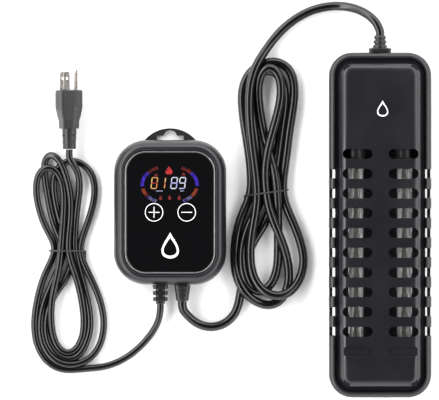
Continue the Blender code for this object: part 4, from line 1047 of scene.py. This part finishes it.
low, high = 23.8, 34.7
lamps = {
    "set_figures": (amber, figure(-18.4, -12.9, low, high, "abcdef") + figure(-5.9, -5.0, low, high, "bc")),
    "set_figure_bar": (lamp_red, figure(-18.4, -12.9, low, high, "g")),
    "water_figures": (cold_white,
                      figure(1.3, 6.9, low, high, "abcdefg") + figure(9.6, 15.2, low, high, "abcdfg")),
    "warm_ticks": (dim_red, ticks(117, 139)),
    "cold_ticks": (lamp_blue, ticks(143, 182)),
    "hot_ticks": (lamp_orange, ticks(193, 214)),
    "dial_foot_ticks": (lamp_violet, ticks(220, 239)),
    "heating_symbol": (lamp_red, [prism(water_drop(7.5, 8.5, (-1, 42)), glass_top, glass_top + print_rise)]),
    "small_symbols": (dim_red, [
        prism([(-15.8, 36.4), (-11.8, 36.4), (-13.8, 39.4)], glass_top, glass_top + print_rise),
        prism([(11.5, 37.0), (15.5, 37.0), (13.5, 40.0)], glass_top, glass_top + print_rise),
        *(prism(water_drop(3.6, 4.8, (x, 14.8)), glass_top, glass_top + print_rise) for x in (-9.5, -0.4,
                                                                                              9.3)),
    ]),
    "unit_bars": (cold_white, [
        stroke((-14, 21.3), (-7, 21.3), 0.5, glass_top), stroke((10, 21.3), (14, 21.3), 0.5, glass_top),
    ]),
}
for name, (finish, shapes) in lamps.items():
    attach(mesh_object(name, together(shapes), finish, box_at), body)

# ---------------------------------------------------------------- inside the controller
# A green circuit board carries a blue relay, a taped transformer, a capacitor, the screw terminals, the
# display's white housing and a spring under each touch key.
for finish, *names in (
    (moulded("board_green", (0.012, 0.1, 0.035), (0.1, 0.25, 0.12), (0.35, 0.5), 1500, 0.1, 0.4),
     "circuit_board"),
    (moulded("relay_blue", (0.015, 0.07, 0.3), (0.1, 0.2, 0.5), (0.35, 0.5), 1200, 0.1, 0.4), "relay"),
    (moulded("winding_tape", (0.65, 0.45, 0.04), (0.8, 0.6, 0.2), (0.3, 0.45), 500, 0.2, 0.3),
     "power_transformer"),
    (moulded("terminal_green", (0.015, 0.25, 0.08), (0.1, 0.4, 0.2), (0.4, 0.5), 1200, 0.1, 0.4),
     "terminal_block"),
    (moulded("display_white", (0.7, 0.7, 0.7), (0.8, 0.8, 0.8), (0.45, 0.55), 1200, 0.1, 0.3),
     "display_module"),
    (black, "smoothing_capacitor"), (steel, "touch_spring_minus", "touch_spring_plus"),
):
    for name in names:
        nodes[name].material_slots[0].material = finish

# ---------------------------------------------------------------- strain reliefs
# Soft rubber moulded on the flexes where they leave the box. The mains one is cut into three steps so that it
# bends; the heater one is a taper with six small raised studs.
wall = 72.25
neck = [(8.6, 8.6, 4.25, wall - 5), (8.6, 8.6, 4.25, wall + 0.3)]
stepped = list(neck)
for start, end in ((0.4, 4.4), (6.7, 10.6), (12.8, 16.6)):
    stepped += [
        (14.0, 12.0, 3.2, wall + start), (14.9, 12.9, 3.5, wall + start + 0.4),
        (14.7, 12.7, 3.5, wall + end - 0.4), (13.8, 11.8, 3.2, wall + end),
        (9.2, 10.0, 3, wall + end + 0.1), (9.2, 9.8, 3, wall + end + 2.0),
    ]
stepped += [(9.0, 9.0, 4.3, wall + 19.5)]
mains_relief = mesh_object(
    "mains_relief_rubber", turned_to(loft(stepped, 8), against_y), rubber,
    (box_at[0] - 9.75, box_at[1], exit_height)
)
notches = [block((3.0, 2.0, 1.6), (x, 6.4, wall + 8.6)) for x in (-3.1, 3.1)]
worked(mains_relief, [turned_to(notch, against_y) for notch in notches],
       (box_at[0] - 9.75, box_at[1], exit_height))
stands(softened(mains_relief, 0.2), "black_rubber", "mains_strain_relief")
tapered = neck + [
    (15, 13, 4, wall + 0.4), (16, 14, 4.4, wall + 1.0), (15.7, 13.8, 4.4, wall + 3),
    (13.4, 12.7, 4.4, wall + 11),
    (12.6, 12.2, 4.6, wall + 15.2), (11.4, 11.0, 4.8, wall + 16.5),
]
heater_relief_at = (box_at[0] + 12.25, box_at[1], exit_height)
heater_relief = mesh_object(
    "heater_relief_rubber", turned_to(loft(tapered, 8), against_y), rubber, heater_relief_at
)
studs = [
    spun([(0, rise, 0), (1.1, rise, 0.8), (1.1, 5.5, 0), (0, 5.5, 0)], flats=20) for rise in (7.35, 7.1, 6.75)
]
studs = [
    ([(x + side * 2.5, y - wall - 3.4 - 4.6 * row, z) for x, y, z in points], faces)
    for row, (points, faces) in enumerate(studs) for side in (-1, 1)
]
worked(heater_relief, studs, heater_relief_at, "UNION")
stands(softened(heater_relief, 0.2), "black_rubber", "heater_strain_relief")

# ---------------------------------------------------------------- plug
# A moulded three-pin plug lying on its side: one soft black body with a ribbed grip and a latticed boot, two
# folded brass blades with an eye near the tip, and a round-ended earth pin.
plug_at = Vector((-203.2, 126.5, 13.1))
plug_turn = Matrix.Rotation(math.radians(-72), 3, "Y") @ Matrix.Rotation(-math.pi / 2, 3, "X")
blade_across, blade_drop, pin_drop = 6.35, -4.75, 7.15


def plug_section(width, height, z, soft=2.4):
    """A round-cornered outline, full width at the blades and narrower at the earth pin."""
    stops = [
        (-0.5 * width, -0.5 * height, soft), (0.5 * width, -0.5 * height, soft),
        (0.5 * width, 0.1 * height, soft),
        (0.36 * width, 0.5 * height, soft), (-0.36 * width, 0.5 * height, soft),
        (-0.5 * width, 0.1 * height, soft),
    ]
    return [(point.x, point.y, z) for point in eased(stops, ring=True)]


def plug_piece(name, surface, finish):
    return mesh_object(name, turned_to(surface, plug_turn), finish, plug_at)


def plug_cut(piece, surfaces, way="DIFFERENCE"):
    return worked(piece, [turned_to(surface, plug_turn) for surface in surfaces], plug_at, way)


plug_sections = [
    (14.6, 15.0, -38.6, 2.2), (17.0, 17.6, -38.4, 2.4), (17.2, 18.2, -30.5, 2.4), (19.4, 20.4, -26.5, 2.4),
    (22.0, 23.2, -18.5, 2.4), (22.2, 23.5, -16.8, 2.4), (23.0, 23.5, -16.4, 2.4), (23.0, 23.5, -1.0, 2.4),
    (21.4, 22.0, 0, 2.2),
]
plug_body = plug_piece(
    "plug_rubber", skin([plug_section(width, height, z, soft) for width, height, z, soft in plug_sections]),
    rubber
)
boot_sections = [(12.0, 12.0, 5, -59), (12.6, 12.6, 5, -58.4), (14.0, 14.0, 6, -39.5), (14.0, 14.0, 6, -36)]
plug_cut(plug_body, [loft(boot_sections, 6)], "UNION")
plug_cut(plug_body, [block((2 * rise, 9.5, 0.9), (0, -3.2, -down)) for rise, down in
                     ((8.95, 30.4), (8.95, 32.3), (8.95, 34.2), (8.95, 36.1))], "UNION")
plug_cut(plug_body, [block((1.5, 2.0, 26), (across, -12.2, -14)) for across in (-3.2, 3.2)])
plug_cut(plug_body, [block((2.2, 1.2, 30), (side * 11.9, 3.4, -13)) for side in (-1, 1)])
lattice = []
for row in range(5):
    down = 42 + 3.3 * row
    shift = 2.4 if row % 2 else -2.4
    for side in (-1, 1):
        lattice.append(block((2.6, 3.0, 1.7), (side * 7.0, shift, -down)))
        lattice.append(block((3.0, 2.6, 1.7), (shift, side * 7.0, -down)))
plug_cut(plug_body, lattice)
socket = 6.0
plug_cut(plug_body,
         [block((2.1, 6.95, 2 * socket), (side * blade_across, blade_drop, 0)) for side in (-1, 1)])
plug_cut(plug_body, [prism(disc(2.7, (0, pin_drop), 32), -socket, 3)])
stands(softened(plug_body, 0.25), "black_rubber", "plug_body")

nickel = brushed("nickelled_brass", (0.4, 0.38, 0.35), (0.16, 0.34), 250, (1, 1, 1), 0.06)
lengthwise = Matrix.Rotation(math.pi / 2, 3, "Z") @ Matrix.Rotation(math.pi / 2, 3, "X")
for name, side, stands_for in (("line_blade", 1, "plug_blade_line"),
                               ("neutral_blade", -1, "plug_blade_neutral")):
    half, end = 3.175, 18.4
    shape = [(-half, 0.3 - socket), (half, 0.3 - socket), (half, end - 1.4), (half - 1.4, end),
             (1.4 - half, end),
             (-half, end - 1.4)]
    blade_at = Vector((side * blade_across, blade_drop, 0))

    def placed(surface):
        points, faces = turned_to(surface, lengthwise)
        return [tuple(Vector(point) + blade_at) for point in points], faces

    blade = plug_piece(name, placed(prism(shape, -0.75, 0.75)), nickel)
    plug_cut(blade, [placed(prism(disc(1.6, (0, 11.7), 28), -3, 3))])
    stands(softened(blade, 0.25), "nickelled_brass", stands_for)
pin_profile = [(0, 21.5, 0), (2.4, 21.5, 2.2), (2.4, 0.3 - socket, 0.1), (0, 0.3 - socket, 0)]
pin_points, pin_faces = spun(pin_profile, flats=40)
pin = plug_piece("earth_pin", ([(x, y + pin_drop, z) for x, y, z in pin_points], pin_faces), nickel)
stands(pin, "nickelled_brass", "plug_ground_pin")
